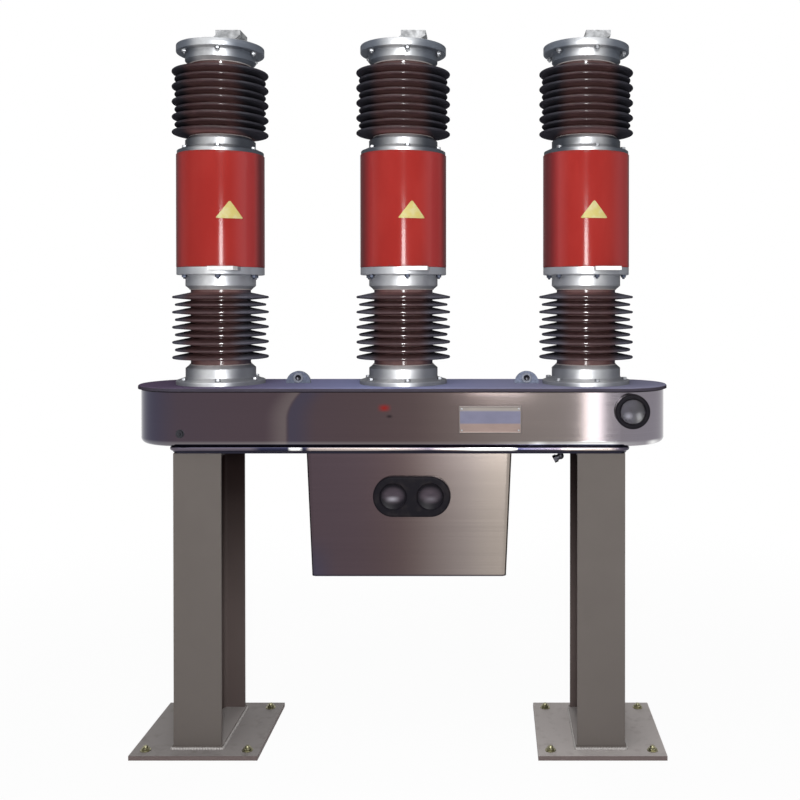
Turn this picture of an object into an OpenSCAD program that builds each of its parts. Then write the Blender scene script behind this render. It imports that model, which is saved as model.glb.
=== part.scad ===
// Three-pole outdoor gas insulated circuit breaker on a two-legged support frame.
// X runs along the row of poles, Y points away from the operator's side, Z is up.
// The origin lies on the ground, midway between the two legs.

/* [Poles] */
// Distance between neighbouring pole axes
pole_spacing = 600; // [500:5:700]
// Diameter of the red interrupter tank
tank_d = 281; // [260:1:310]
// Height of the red interrupter tank
tank_h = 368; // [250:1:500]
// Chamfer on both ends of the tank
tank_chamfer = 2; // [1:0.5:5]

/* [Insulators] */
// Diameter of the porcelain core between the sheds
core_d = 191; // [170:1:196]
// Diameter of the gas bore through the porcelain
bore_d = 112; // [80:1:130]
// Diameter of the large sheds
large_shed_d = 307; // [290:1:320]
// Diameter of the small sheds
small_shed_d = 290; // [260:1:300]
// Number of sheds, large ones at both ends
shed_count = 9; // [5:2:13]
// Height from one shed to the next
shed_pitch = 24.5; // [24:0.5:32]
// Height from the base collar to the tip of the lowest shed
support_shed_gap = 24; // [15:1:44]
// Height from the collar on the tank to the tip of the lowest shed
upper_shed_gap = 15; // [15:1:40]
// Height from the tip of the highest shed to the collar above it
shed_top_gap = 26; // [20:1:40]
// Thickness of a shed at its rounded tip
shed_tip_t = 8; // [3:0.5:8]
// Slope of a shed's upper face in degrees
shed_upper_angle = 12; // [6:0.5:13]
// Slope of a shed's lower face in degrees
shed_lower_angle = 5; // [2:0.5:6]

/* [End castings] */
// Diameter of the flange that stands on the beam
base_flange_d = 285; // [260:1:310]
// Thickness of the base flange at its rim
base_flange_t = 13; // [10:1:30]
// Height from the base flange's rim to the mouth of its collar
base_collar_h = 50; // [40:1:70]
// Rise of the base flange from its rim to its collar
base_slope_h = 7; // [4:1:16]
// Distance the flange under the tank stands back from the tank's wall
lower_flange_inset = 0.5; // [0:0.5:6]
// Thickness of the flange under the tank
lower_flange_t = 24; // [20:1:40]
// Height of the collar under the tank
lower_collar_h = 46; // [30:1:60]
// Distance the flange on top of the tank stands back from the tank's wall
upper_flange_inset = 2.5; // [0:0.5:6]
// Thickness of the upper flange at its rim
upper_flange_t = 12; // [10:1:30]
// Height from the upper flange's rim to the mouth of its collar
upper_collar_h = 44; // [36:1:60]
// Rise of the upper flange from its rim to its collar
upper_slope_h = 8; // [4:1:14]
// Diameter of the flange at the pole head
top_flange_d = 280; // [260:1:300]
// Thickness of the flange at the pole head
top_flange_t = 13; // [10:1:40]
// Height of the collar at the pole head
top_collar_h = 37; // [30:1:50]
// Outer diameter of every collar
collar_d = 224; // [212:1:240]
// Depth that the porcelain sits in a collar
socket_depth = 15; // [8:1:16]
// Radial gap between porcelain and collar
socket_clearance = 0.3; // [0.2:0.1:0.6]
// Width of the bevel on the mouth of a collar
bevel_w = 13; // [4:0.5:15]
// Height of the bevel on the mouth of a collar
bevel_h = 11; // [4:0.5:16]
// Radius of the cast fillet between flange and collar
casting_fillet = 6; // [3:0.5:8]
// Radius on the rim of the flanges and the cap plate
rim_r = 3; // [1:0.5:5]
// Number of bolts round a flange
bolt_count = 6; // [4:1:10]
// Turn of the bolt circles from the front, in degrees
bolt_angle = 11; // [0:1:60]
// Diameter of the flat bolt seats cut in a sloping flange
seat_d = 20; // [16:1:22]
// Distance from a sloping flange's rim to the middle of a bolt seat
seat_inset = 15; // [11:0.5:16]
// Height of a bolt seat above the flange's rim
seat_h = 2; // [0.5:0.5:4]

/* [Terminals] */
// Thickness of the cap plate at the pole head
cap_t = 11; // [9:1:30]
// Diameter of the bolt pockets in the cap plate
pocket_d = 20; // [16:1:24]
// Depth of the bolt pockets in the cap plate
pocket_depth = 7; // [3:1:8]
// Distance from the cap plate's rim to the middle of a pocket
pocket_inset = 16; // [13:1:20]
// Height of the terminal block above the cap plate
terminal_h = 47; // [38:1:70]
// Length of the terminal pad along the row of poles
terminal_l = 80; // [70:1:100]
// Depth of the terminal pad
terminal_depth = 92; // [80:1:110]
// Offset of the pad's centre from the pole axis
terminal_offset = 36; // [10:1:50]
// Thickness of the upper terminal pad
terminal_t = 16; // [14:1:24]
// Thickness of the lower terminal pad
pad_t = 12; // [8:1:16]
// Distance between tapped holes in the upper pad
terminal_pitch = 50; // [40:1:54]
// Diameter of the holes in both pads
terminal_hole_d = 13; // [9:0.5:14]
// Depth of the tapped holes in the upper pad
terminal_hole_depth = 13; // [10:1:14]
// Width of the lower pad
lower_pad_w = 80; // [70:1:100]
// Distance the lower pad reaches out from the tank's wall
lower_pad_reach = 57.5; // [50:0.5:80]
// Offset of the lower pad from the pole axis
lower_pad_offset = 52; // [0:1:60]
// Distance from the lower pad's front edge to its holes
lower_hole_inset = 22; // [16:1:30]

/* [Beam] */
// Distance from an outer pole's axis to the end of the beam housing
beam_end = 253.5; // [240:0.5:400]
// Distance from an end of the beam housing to the end of the bottom pan
pan_from_end = 128; // [100:1:140]
// Radius of the bottom pan's four corners
pan_corner_r = 36; // [20:1:60]
// Depth of the beam housing, which has half-round ends
beam_depth = 320; // [310:1:380]
// Height from the ground to the underside of the beam
beam_z = 944; // [700:1:1400]
// Height of the rolled rim round the bottom pan
rim_h = 22; // [16:1:30]
// Diameter of the rolled bead along the upper edge of the rim
bead_d = 14; // [8:1:15]
// Distance the underside stands back from the bead
tray_inset = 12; // [9:1:12]
// Distance the rim stands proud of the wall
rim_proud = 3; // [1:0.5:6]
// Height of the beam wall between rim and lid
wall_h = 174; // [140:1:300]
// Radius on the wall's lower edge
wall_round = 16; // [4:1:24]
// Thickness of the lid
lid_t = 12; // [8:1:20]
// Distance the lid overhangs the wall
lid_overhang = 10; // [4:1:20]
// Radius on the lid's upper edge
lid_round = 6; // [2:0.5:7]

/* [Lifting lugs] */
// Distance from an outer pole's axis to its lug, before the offset that lugs and box share
lug_from_pole = 225; // [190:1:250]
// Radius of the half-round lugs
lug_r = 40; // [34:1:50]
// Thickness of the lugs
lug_t = 16; // [10:1:24]
// Diameter of the lifting hole
lug_hole_d = 24; // [18:1:26]
// Height of the lifting hole above the lid
lug_hole_z = 18; // [16:1:20]

/* [Gauge] */
// Distance from the beam's right end to the gauge
gauge_from_end = 124; // [110:1:200]
// Gap between the lid's underside and the gauge bezel
gauge_gap = 8; // [4:1:30]
// Outer diameter of the gauge bezel
gauge_d = 108; // [90:1:114]
// Diameter of the gauge dial
dial_d = 76; // [50:1:80]
// Distance the bezel stands in front of the wall
gauge_proud = 26; // [18:1:36]
// Depth of the recess in the bezel
dial_recess = 20; // [12:1:24]
// Radius on the bezel's outer edge
bezel_round = 5; // [2:0.5:8]
// Width of the sloping lip round the dial
bezel_lip = 5; // [2:0.5:8]
// Thickness of the dial and of the box lenses
glass_t = 6; // [3:1:8]
// Gap round the dial and the box lenses
glass_clearance = 0.3; // [0.2:0.1:0.6]

/* [Mechanism box] */
// Offset of the box and the lugs from the middle pole
box_offset = 30; // [-40:1:40]
// Gap between the box and a leg, before the offset
box_gap = 236.5; // [180:0.5:280]
// Distance each side of the box leans in from the beam to the bottom
box_lean = 17.5; // [0:0.5:40]
// Height of the box
box_h = 386; // [300:1:500]
// Depth of the box
box_depth = 300; // [240:1:300]
// Bend radius of the box's four upright edges
box_bend_r = 16; // [6:1:24]
// Distance from the box centre to the window centre
window_offset = 10; // [-40:1:40]
// Height of the window centre below the beam
window_drop = 134; // [90:1:200]
// Length of the oval window frame
window_l = 243; // [230:1:280]
// Height of the oval window frame
window_h = 127; // [110:1:140]
// Thickness of the window frame
window_t = 16; // [10:1:24]
// Radius on the window frame's outer edge
window_round = 6; // [2:0.5:9]
// Width of the sloping lip round each lens
window_lip = 4; // [1:0.5:6]
// Distance between the two lenses
lens_spacing = 116; // [100:1:120]
// Diameter of the lens openings
lens_d = 80; // [60:1:90]

/* [Gas valve] */
// Distance from the right pole back to the gas valve
valve_from_pole = 92; // [60:1:140]
// Distance from the beam's middle plane forward to the valve
valve_forward = 122; // [60:1:130]
// Diameter of the valve stub
valve_stub_d = 18; // [12:1:20]
// Length of the valve stub from the beam to its elbow
valve_stub_l = 12; // [12:1:30]
// Diameter of the valve's ball elbow
valve_elbow_d = 22; // [21:1:24]
// Width across the corners of the hexagon cap
valve_cap_d = 25; // [22:1:28]
// Length of the valve's sloping barrel
valve_barrel_l = 24; // [20:1:40]
// Slope of the barrel from the vertical
valve_angle = 62; // [20:1:64]

/* [Legs] */
// Distance from an end of the beam to the leg's axis
leg_from_end = 218.5; // [180:0.5:320]
// Width of the leg's flanges
leg_w = 150; // [120:1:180]
// Depth of the leg over its flanges
leg_depth = 300; // [240:1:300]
// Thickness of the leg's flanges
leg_flange_t = 10; // [6:0.5:14]
// Thickness of the leg's web
leg_web_t = 8; // [5:0.5:12]
// Radius of the rolled root between flange and web
leg_root_r = 13; // [6:1:20]
// Thickness of the end plates on a leg
end_plate_t = 10; // [6:1:16]
// Distance the lower end plate stands out round the leg
end_plate_proud = 4; // [2:1:10]

/* [Base plates] */
// Side of the square base plates
base_plate_w = 400; // [380:1:460]
// Thickness of the base plates
base_plate_t = 14; // [10:1:25]
// Distance from a base plate's edge to its anchor holes
anchor_inset = 40; // [25:1:60]
// Diameter of the anchor holes
anchor_hole_d = 18; // [12:1:22]

/* [Hidden] */
$fn = 96;
SIDES = ["left", "middle", "right"];

// Overlap that lets a cut break clean through a face
cut = 1;
// Diameters of the flanges at the tank's ends, and the front edge of the lower pad
lower_flange_d = tank_d - 2 * lower_flange_inset;
upper_flange_d = tank_d - 2 * upper_flange_inset;
lower_pad_front = tank_d / 2 + lower_pad_reach;
// Heights up the pole, from the lid to the cap plate
wall_z = beam_z + rim_h;
lid_z = wall_z + wall_h;
pole_z = lid_z + lid_t;
support_z = pole_z + base_flange_t + base_collar_h;
lower_flange_z = support_z + insulator_show(support_shed_gap);
tank_z = lower_flange_z + lower_collar_h + lower_flange_t;
upper_flange_z = tank_z + tank_h;
upper_insulator_z = upper_flange_z + upper_flange_t + upper_collar_h;
top_flange_z = upper_insulator_z + insulator_show(upper_shed_gap);
cap_z = top_flange_z + top_collar_h + top_flange_t;
// Lengths and places along the beam
beam_l = 2 * (pole_spacing + beam_end);
beam_straight = beam_l - beam_depth;
pan_l = beam_l - 2 * pan_from_end;
pan_depth = beam_depth + 2 * rim_proud;
lug_x = pole_spacing - lug_from_pole;
gauge_x = beam_l / 2 - gauge_from_end;
gauge_z = lid_z - gauge_gap - gauge_d / 2;
// Places of the legs and heights between their plates
leg_x = beam_l / 2 - leg_from_end;
leg_z = base_plate_t + end_plate_t;
leg_h = beam_z - end_plate_t - leg_z;
// Half widths and places on the box
box_top = leg_x - leg_w / 2 - box_gap;
box_bottom = box_top - box_lean;
box_front = -box_depth / 2;
window_x = box_offset + window_offset;
window_z = beam_z - window_drop;

// Points on an arc, counted in equal steps from one angle to the other
function arc(x, y, radius, from, to, steps) =
    [for (i = [0:steps]) let (a = from + (to - from) * i / steps) [x + radius * cos(a), y + radius * sin(a)]];

// Length of an insulator that shows between its collars
function insulator_show(low_gap) = low_gap + (shed_count - 1) * shed_pitch + shed_top_gap;

// Axis of a pole, counted from the left
function pole_x(index) = (index - 1) * pole_spacing;

// Outline of one shed, from its lower root round the tip to its upper root
function shed_outline(z, tip_r) =
    let (tip = shed_tip_t / 2)
    let (reach = tip_r - tip - core_d / 2)
    concat(
        [[core_d / 2, z - tip - reach * tan(shed_lower_angle)]],
        arc(tip_r - tip, z, tip, -90, 90, 6),
        [[core_d / 2, z + tip + reach * tan(shed_upper_angle)]]
    );

// Half outline of a plate with its upper edge rounded
function edge_outline(edge, thick, round) =
    concat([[0, 0], [edge, 0]], arc(edge - round, thick - round, round, 0, 90, 6), [[0, thick]]);

// Outline of the bottom pan's edge, with a rolled bead above an underside that slopes in
function pan_outline(edge) =
    let (roll = bead_d / 2)
    concat([[0, 0], [edge - tray_inset, 0]], arc(edge - roll, rim_h - roll, roll, -90, 90, 10), [[0, rim_h]]);

// Solid with the given half outline along its straight sides and round both ends
module stadium_sweep(outline, straight) {
    mirrored = [for (i = [len(outline) - 1:-1:0]) [-outline[i][0], outline[i][1]]];
    rotate([90, 0, 90])
        linear_extrude(straight, center = true)
            polygon(concat(outline, [for (p = mirrored) if (p[0] < 0) p]));
    for (side = [-1, 1])
        translate([side * straight / 2, 0, 0])
            rotate([0, 0, -side * 90])
                rotate_extrude(angle = 180)
                    polygon(outline);
}

// Cast flange that rises by a slope to the collar above it, which holds the end of the porcelain
module end_casting(flange_d, flange_t, collar_h, slope_h) {
    rim = flange_d / 2;
    collar = collar_d / 2;
    socket = core_d / 2 + socket_clearance;
    top = flange_t + collar_h;
    rotate_extrude()
        polygon(concat(
            [[0, 0], [rim, 0]],
            arc(rim - rim_r, flange_t - rim_r, rim_r, 0, 90, 4),
            arc(collar + casting_fillet, flange_t + slope_h + casting_fillet, casting_fillet, 270, 180, 4),
            [[collar, top - bevel_h], [collar - bevel_w, top]],
            [[socket, top], [socket, top - socket_depth], [0, top - socket_depth]]
        ));
}

// End casting with a flat seat for each bolt cut in its slope
module seated_casting(flange_d, flange_t, collar_h, slope_h) {
    difference() {
        end_casting(flange_d, flange_t, collar_h, slope_h);
        for (i = [0:bolt_count - 1])
            rotate([0, 0, i * 360 / bolt_count + bolt_angle])
                translate([0, seat_inset - flange_d / 2, flange_t + seat_h])
                    cylinder(d = seat_d, h = slope_h + casting_fillet);
    }
}

// Hollow porcelain with large and small sheds by turns, seated in a collar at each end
module shed_insulator(low_gap) {
    length = insulator_show(low_gap) + 2 * socket_depth;
    first = socket_depth + low_gap;
    color([0.19, 0.12, 0.13])
        rotate_extrude()
            polygon(concat(
                [[bore_d / 2, 0], [core_d / 2, 0]],
                [for (i = [0:shed_count - 1]) let (tip_d = i % 2 == 0 ? large_shed_d : small_shed_d)
                    each shed_outline(first + i * shed_pitch, tip_d / 2)],
                [[core_d / 2, length], [bore_d / 2, length]]
            ));
}

module base_flange(x) {
    color("silver")
        translate([x, 0, pole_z])
            seated_casting(base_flange_d, base_flange_t, base_collar_h, base_slope_h);
}

module support_insulator(x) {
    translate([x, 0, support_z - socket_depth])
        shed_insulator(support_shed_gap);
}

// Flange under the tank, cast in one with the lower terminal pad
module lower_flange(x) {
    pad_x = x + lower_pad_offset;
    color("silver")
        difference() {
            union() {
                translate([x, 0, tank_z])
                    mirror([0, 0, 1])
                        end_casting(lower_flange_d, lower_flange_t, lower_collar_h, 0);
                translate([pad_x - lower_pad_w / 2, -lower_pad_front, tank_z - pad_t])
                    cube([lower_pad_w, lower_pad_front - lower_flange_d / 4, pad_t]);
            }
            for (side = [-1, 1])
                translate([
                    pad_x + side * terminal_pitch / 2,
                    lower_hole_inset - lower_pad_front,
                    tank_z - pad_t - cut
                ])
                    cylinder(d = terminal_hole_d, h = pad_t + 2 * cut);
        }
}

module interrupter_tank(x) {
    color([0.7, 0.23, 0.2])
        translate([x, 0, tank_z])
            rotate_extrude()
                polygon([
                    [0, 0], [tank_d / 2 - tank_chamfer, 0], [tank_d / 2, tank_chamfer],
                    [tank_d / 2, tank_h - tank_chamfer], [tank_d / 2 - tank_chamfer, tank_h], [0, tank_h]
                ]);
}

module upper_flange(x) {
    color("silver")
        translate([x, 0, upper_flange_z])
            seated_casting(upper_flange_d, upper_flange_t, upper_collar_h, upper_slope_h);
}

module upper_insulator(x) {
    translate([x, 0, upper_insulator_z - socket_depth])
        shed_insulator(upper_shed_gap);
}

module top_flange(x) {
    color("silver")
        translate([x, 0, cap_z])
            mirror([0, 0, 1])
                end_casting(top_flange_d, top_flange_t, top_collar_h, 0);
}

// Cap plate with bolt pockets and a cast arm that slopes up and out to the tapped pad
module line_terminal(x) {
    rim = top_flange_d / 2;
    left = terminal_offset - terminal_l / 2;
    right = terminal_offset + terminal_l / 2;
    neck = terminal_h - terminal_t;
    color("silver")
        translate([x, 0, cap_z])
            difference() {
                union() {
                    rotate_extrude()
                        polygon(concat(
                            [[0, 0], [rim, 0]],
                            arc(rim - rim_r, cap_t - rim_r, rim_r, 0, 90, 4),
                            [[0, cap_t]]
                        ));
                    translate([0, 0, cap_t])
                        rotate([90, 0, 0])
                            linear_extrude(terminal_depth, center = true)
                                polygon([
                                    [left - neck, -cut], [left - neck, 0], [left, neck], [left, terminal_h],
                                    [right, terminal_h], [right, neck], [right - neck, neck / 4],
                                    [right - neck, -cut]
                                ]);
                }
                for (i = [0:bolt_count - 1])
                    rotate([0, 0, i * 360 / bolt_count + bolt_angle])
                        translate([0, pocket_inset - rim, cap_t - pocket_depth])
                            cylinder(d = pocket_d, h = pocket_depth + cut);
                for (side_x = [-1, 1], side_y = [-1, 1])
                    translate([
                        terminal_offset + side_x * terminal_pitch / 2,
                        side_y * terminal_pitch / 2,
                        cap_t + terminal_h - terminal_hole_depth
                    ])
                        cylinder(d = terminal_hole_d, h = terminal_hole_depth + cut);
            }
}

// Closed beam wall with half-round ends, its lower edge bent in
module beam_housing() {
    color([0.52, 0.48, 0.47])
        translate([0, 0, lid_z])
            mirror([0, 0, 1])
                stadium_sweep(edge_outline(beam_depth / 2, wall_h, wall_round), beam_straight);
}

module beam_lid() {
    color([0.5, 0.5, 0.56])
        translate([0, 0, lid_z])
            stadium_sweep(edge_outline(beam_depth / 2 + lid_overhang, lid_t, lid_round), beam_straight);
}

// Pan that closes the beam from below, with its rolled edge carried round four corners
module beam_bottom_pan() {
    x = pan_l / 2 - pan_corner_r;
    y = pan_depth / 2 - pan_corner_r;
    color([0.52, 0.48, 0.47])
        translate([0, 0, beam_z]) {
            translate([-x, -y, 0])
                cube([2 * x, 2 * y, rim_h]);
            for (turn = [0, 180])
                rotate([0, 0, turn]) {
                    translate([-x, y, 0])
                        rotate([90, 0, 90])
                            linear_extrude(2 * x)
                                polygon(pan_outline(pan_corner_r));
                    translate([x, y, 0])
                        rotate([90, 0, 0])
                            linear_extrude(2 * y)
                                polygon(pan_outline(pan_corner_r));
                    translate([x, y, 0])
                        rotate_extrude(angle = 90)
                            polygon(pan_outline(pan_corner_r));
                    translate([-x, y, 0])
                        rotate([0, 0, 90])
                            rotate_extrude(angle = 90)
                                polygon(pan_outline(pan_corner_r));
                }
        }
}

module lifting_lugs() {
    color("silver")
        for (side = [-1, 1])
            translate([box_offset + side * lug_x, 0, pole_z])
                rotate([90, 0, 0])
                    linear_extrude(lug_t, center = true)
                        difference() {
                            intersection() {
                                circle(r = lug_r);
                                translate([-lug_r, 0])
                                    square([2 * lug_r, lug_r]);
                            }
                            translate([0, lug_hole_z])
                                circle(d = lug_hole_d);
                        }
}

// Bezel cut to the curve of the beam's end, with a blind recess for the dial
module gauge_bezel() {
    back = beam_depth / 4;
    front = beam_depth / 2 + gauge_proud;
    rim = gauge_d / 2;
    mouth = dial_d / 2;
    color([0.1, 0.1, 0.11])
        difference() {
            translate([gauge_x, 0, gauge_z])
                rotate([90, 0, 0])
                    rotate_extrude()
                        polygon(concat(
                            [[0, back], [rim, back]],
                            arc(rim - bezel_round, front - bezel_round, bezel_round, 0, 90, 5),
                            [[mouth + bezel_lip, front], [mouth, front - bezel_lip]],
                            [[mouth, front - dial_recess], [0, front - dial_recess]]
                        ));
            beam_housing();
        }
}

module gauge_dial() {
    floor_y = beam_depth / 2 + gauge_proud - dial_recess;
    color([0.4, 0.4, 0.44])
        translate([gauge_x, -floor_y, gauge_z])
            rotate([90, 0, 0])
                cylinder(d = dial_d - 2 * glass_clearance, h = glass_t);
}

// Box that narrows downwards, with its four upright edges bent round
module mechanism_box() {
    lean = atan(box_lean / box_h);
    color([0.5, 0.45, 0.45])
        translate([box_offset, 0, beam_z - box_h])
            difference() {
                rotate([90, 0, 0])
                    linear_extrude(box_depth, center = true)
                        polygon([[-box_bottom, 0], [box_bottom, 0], [box_top, box_h], [-box_top, box_h]]);
                for (side_x = [-1, 1], side_y = [-1, 1])
                    translate([side_x * box_bottom, side_y * box_depth / 2, 0])
                        rotate([0, side_x * lean, 0])
                            translate([0, 0, -box_h / 8])
                                linear_extrude(box_h * 1.25)
                                    scale([side_x, side_y])
                                        edge_waste(box_bend_r);
            }
}

// Flat shape left over between a square corner and the round that replaces it
module edge_waste(radius) {
    difference() {
        translate([-radius, -radius])
            square(radius + cut);
        translate([-radius, -radius])
            circle(r = radius);
    }
}

// Oval frame on the front of the box, rounded outside, with a lipped round opening for each lens
module window_frame() {
    deep = window_lip + cut;
    color([0.08, 0.08, 0.09])
        translate([window_x, box_front, window_z])
            rotate([90, 0, 0])
                difference() {
                    stadium_sweep(edge_outline(window_h / 2, window_t, window_round), window_l - window_h);
                    for (side = [-1, 1])
                        translate([side * lens_spacing / 2, 0, -cut]) {
                            cylinder(d = lens_d, h = window_t + 2 * cut);
                            translate([0, 0, window_t - window_lip + cut])
                                cylinder(d1 = lens_d, d2 = lens_d + 2 * deep, h = deep);
                        }
                }
}

module window_lenses() {
    color([0.3, 0.3, 0.33])
        for (side = [-1, 1])
            translate([window_x + side * lens_spacing / 2, box_front, window_z])
                rotate([90, 0, 0])
                    cylinder(d = lens_d - 2 * glass_clearance, h = glass_t);
}

// Filling valve: a stub below the beam, a ball elbow and a sloping barrel with a hexagon cap
module gas_valve() {
    cap_h = valve_barrel_l / 2;
    color([0.2, 0.18, 0.18])
        translate([pole_spacing - valve_from_pole, -valve_forward, beam_z]) {
            translate([0, 0, -valve_stub_l])
                cylinder(d = valve_stub_d, h = valve_stub_l);
            translate([0, 0, -valve_stub_l]) {
                sphere(d = valve_elbow_d);
                rotate([0, 180 + valve_angle, 0]) {
                    cylinder(d = valve_stub_d, h = valve_barrel_l);
                    translate([0, 0, valve_barrel_l - cap_h])
                        cylinder(d = valve_cap_d, h = cap_h, $fn = 6);
                }
            }
        }
}

// Rolled section: two flanges, a web and a root radius in each inner corner
module leg_section() {
    inner = leg_depth / 2 - leg_flange_t;
    for (side = [-1, 1])
        translate([0, side * (leg_depth - leg_flange_t) / 2])
            square([leg_w, leg_flange_t], center = true);
    square([leg_web_t, leg_depth - leg_flange_t], center = true);
    for (side_x = [-1, 1], side_y = [-1, 1])
        scale([side_x, side_y])
            translate([leg_web_t / 2, inner - leg_root_r])
                difference() {
                    square(leg_root_r);
                    translate([leg_root_r, 0])
                        circle(r = leg_root_r);
                }
}

module leg(x) {
    foot = [leg_w + 2 * end_plate_proud, leg_depth + 2 * end_plate_proud, end_plate_t];
    color([0.43, 0.4, 0.39])
        translate([x, 0, leg_z]) {
            linear_extrude(leg_h)
                leg_section();
            translate([-foot[0] / 2, -foot[1] / 2, -end_plate_t])
                cube(foot);
            translate([-leg_w / 2, -leg_depth / 2, leg_h])
                cube([leg_w, leg_depth, end_plate_t]);
        }
}

module base_plate(x) {
    hole = base_plate_w / 2 - anchor_inset;
    color([0.54, 0.53, 0.53])
        translate([x, 0, 0])
            difference() {
                translate([-base_plate_w / 2, -base_plate_w / 2, 0])
                    cube([base_plate_w, base_plate_w, base_plate_t]);
                for (side_x = [-1, 1], side_y = [-1, 1])
                    translate([side_x * hole, side_y * hole, -cut])
                        cylinder(d = anchor_hole_d, h = base_plate_t + 2 * cut);
            }
}

for (i = [0:2]) {
    x = pole_x(i);
    base_flange(x);
    support_insulator(x);
    lower_flange(x);
    interrupter_tank(x);
    upper_flange(x);
    upper_insulator(x);
    top_flange(x);
    line_terminal(x);
}
beam_housing();
beam_lid();
beam_bottom_pan();
lifting_lugs();
gauge_bezel();
gauge_dial();
mechanism_box();
window_frame();
window_lenses();
gas_valve();
leg(-leg_x);  // left_leg
leg(leg_x);  // right_leg
base_plate(-leg_x);  // left_base_plate
base_plate(leg_x);  // right_base_plate
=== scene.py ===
"""Finishes, fasteners, plates, glasses and studio for a three-pole outdoor gas insulated breaker."""
from math import atan2, pi, radians, tau

import bpy
import numpy as np
from bpy.props import FloatProperty, FloatVectorProperty, IntProperty, PointerProperty
from bpy.types import Operator, Panel, PropertyGroup
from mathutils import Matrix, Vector


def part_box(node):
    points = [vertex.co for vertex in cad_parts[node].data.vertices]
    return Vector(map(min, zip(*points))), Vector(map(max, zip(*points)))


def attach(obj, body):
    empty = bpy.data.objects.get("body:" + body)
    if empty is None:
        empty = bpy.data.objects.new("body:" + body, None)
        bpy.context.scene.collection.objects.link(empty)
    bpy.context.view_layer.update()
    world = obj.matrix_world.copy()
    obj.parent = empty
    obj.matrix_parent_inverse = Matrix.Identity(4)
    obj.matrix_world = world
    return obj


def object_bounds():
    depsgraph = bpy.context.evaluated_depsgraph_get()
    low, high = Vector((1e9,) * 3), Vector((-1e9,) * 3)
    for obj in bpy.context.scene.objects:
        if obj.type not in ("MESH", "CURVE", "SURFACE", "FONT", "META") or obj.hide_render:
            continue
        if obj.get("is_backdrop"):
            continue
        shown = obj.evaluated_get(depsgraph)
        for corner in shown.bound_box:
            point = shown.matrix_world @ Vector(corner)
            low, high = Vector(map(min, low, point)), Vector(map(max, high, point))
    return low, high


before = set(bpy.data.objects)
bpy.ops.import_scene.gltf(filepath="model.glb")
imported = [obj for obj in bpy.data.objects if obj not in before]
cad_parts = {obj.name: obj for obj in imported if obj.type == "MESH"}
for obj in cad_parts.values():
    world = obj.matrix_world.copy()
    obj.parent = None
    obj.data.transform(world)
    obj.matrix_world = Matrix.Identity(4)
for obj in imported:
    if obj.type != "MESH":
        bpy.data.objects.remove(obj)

bl_info = {
    "name": "Gas Insulated Breaker",
    "version": (1, 0, 0),
    "blender": (4, 5, 0),
    "location": "View3D > Sidebar > Breaker",
    "description": "Dresses the packed breaker with finishes, fasteners, plates and glasses, "
                   "and sets a studio",
    "category": "Object",
}

CAD_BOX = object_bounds()
SIDES = ("left", "middle", "right")
LEGS = ("left", "right")
FLANGES = ("base", "lower", "upper", "top")


def middle_of(box):
    """Middle of a box given by its two corners."""
    return (box[0] + box[1]) / 2


def half_of(box):
    """Half the size of a box given by its two corners."""
    return (box[1] - box[0]) / 2


def flange(side, kind):
    """Corners of the box round one flange of a pole."""
    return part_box(f"{side}_{kind}_flange")


def length(name, description, default):
    """A size in metres that a user may change."""
    return FloatProperty(
        name=name, description=description, default=default, min=0.0, precision=4, unit="LENGTH"
    )


def angle(name, description, default):
    """An angle, given in degrees, that a user may change."""
    return FloatProperty(name=name, description=description, default=radians(default), subtype="ANGLE")


def power(name, description, default):
    """A lamp's power in watts that a user may change."""
    return FloatProperty(name=name, description=description, default=default, min=0.0, unit="POWER")


def colour(name, description, default):
    """A linear colour that a user may change."""
    return FloatVectorProperty(
        name=name, description=description, default=default, min=0.0, max=1.0, size=3, subtype="COLOR"
    )


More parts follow.
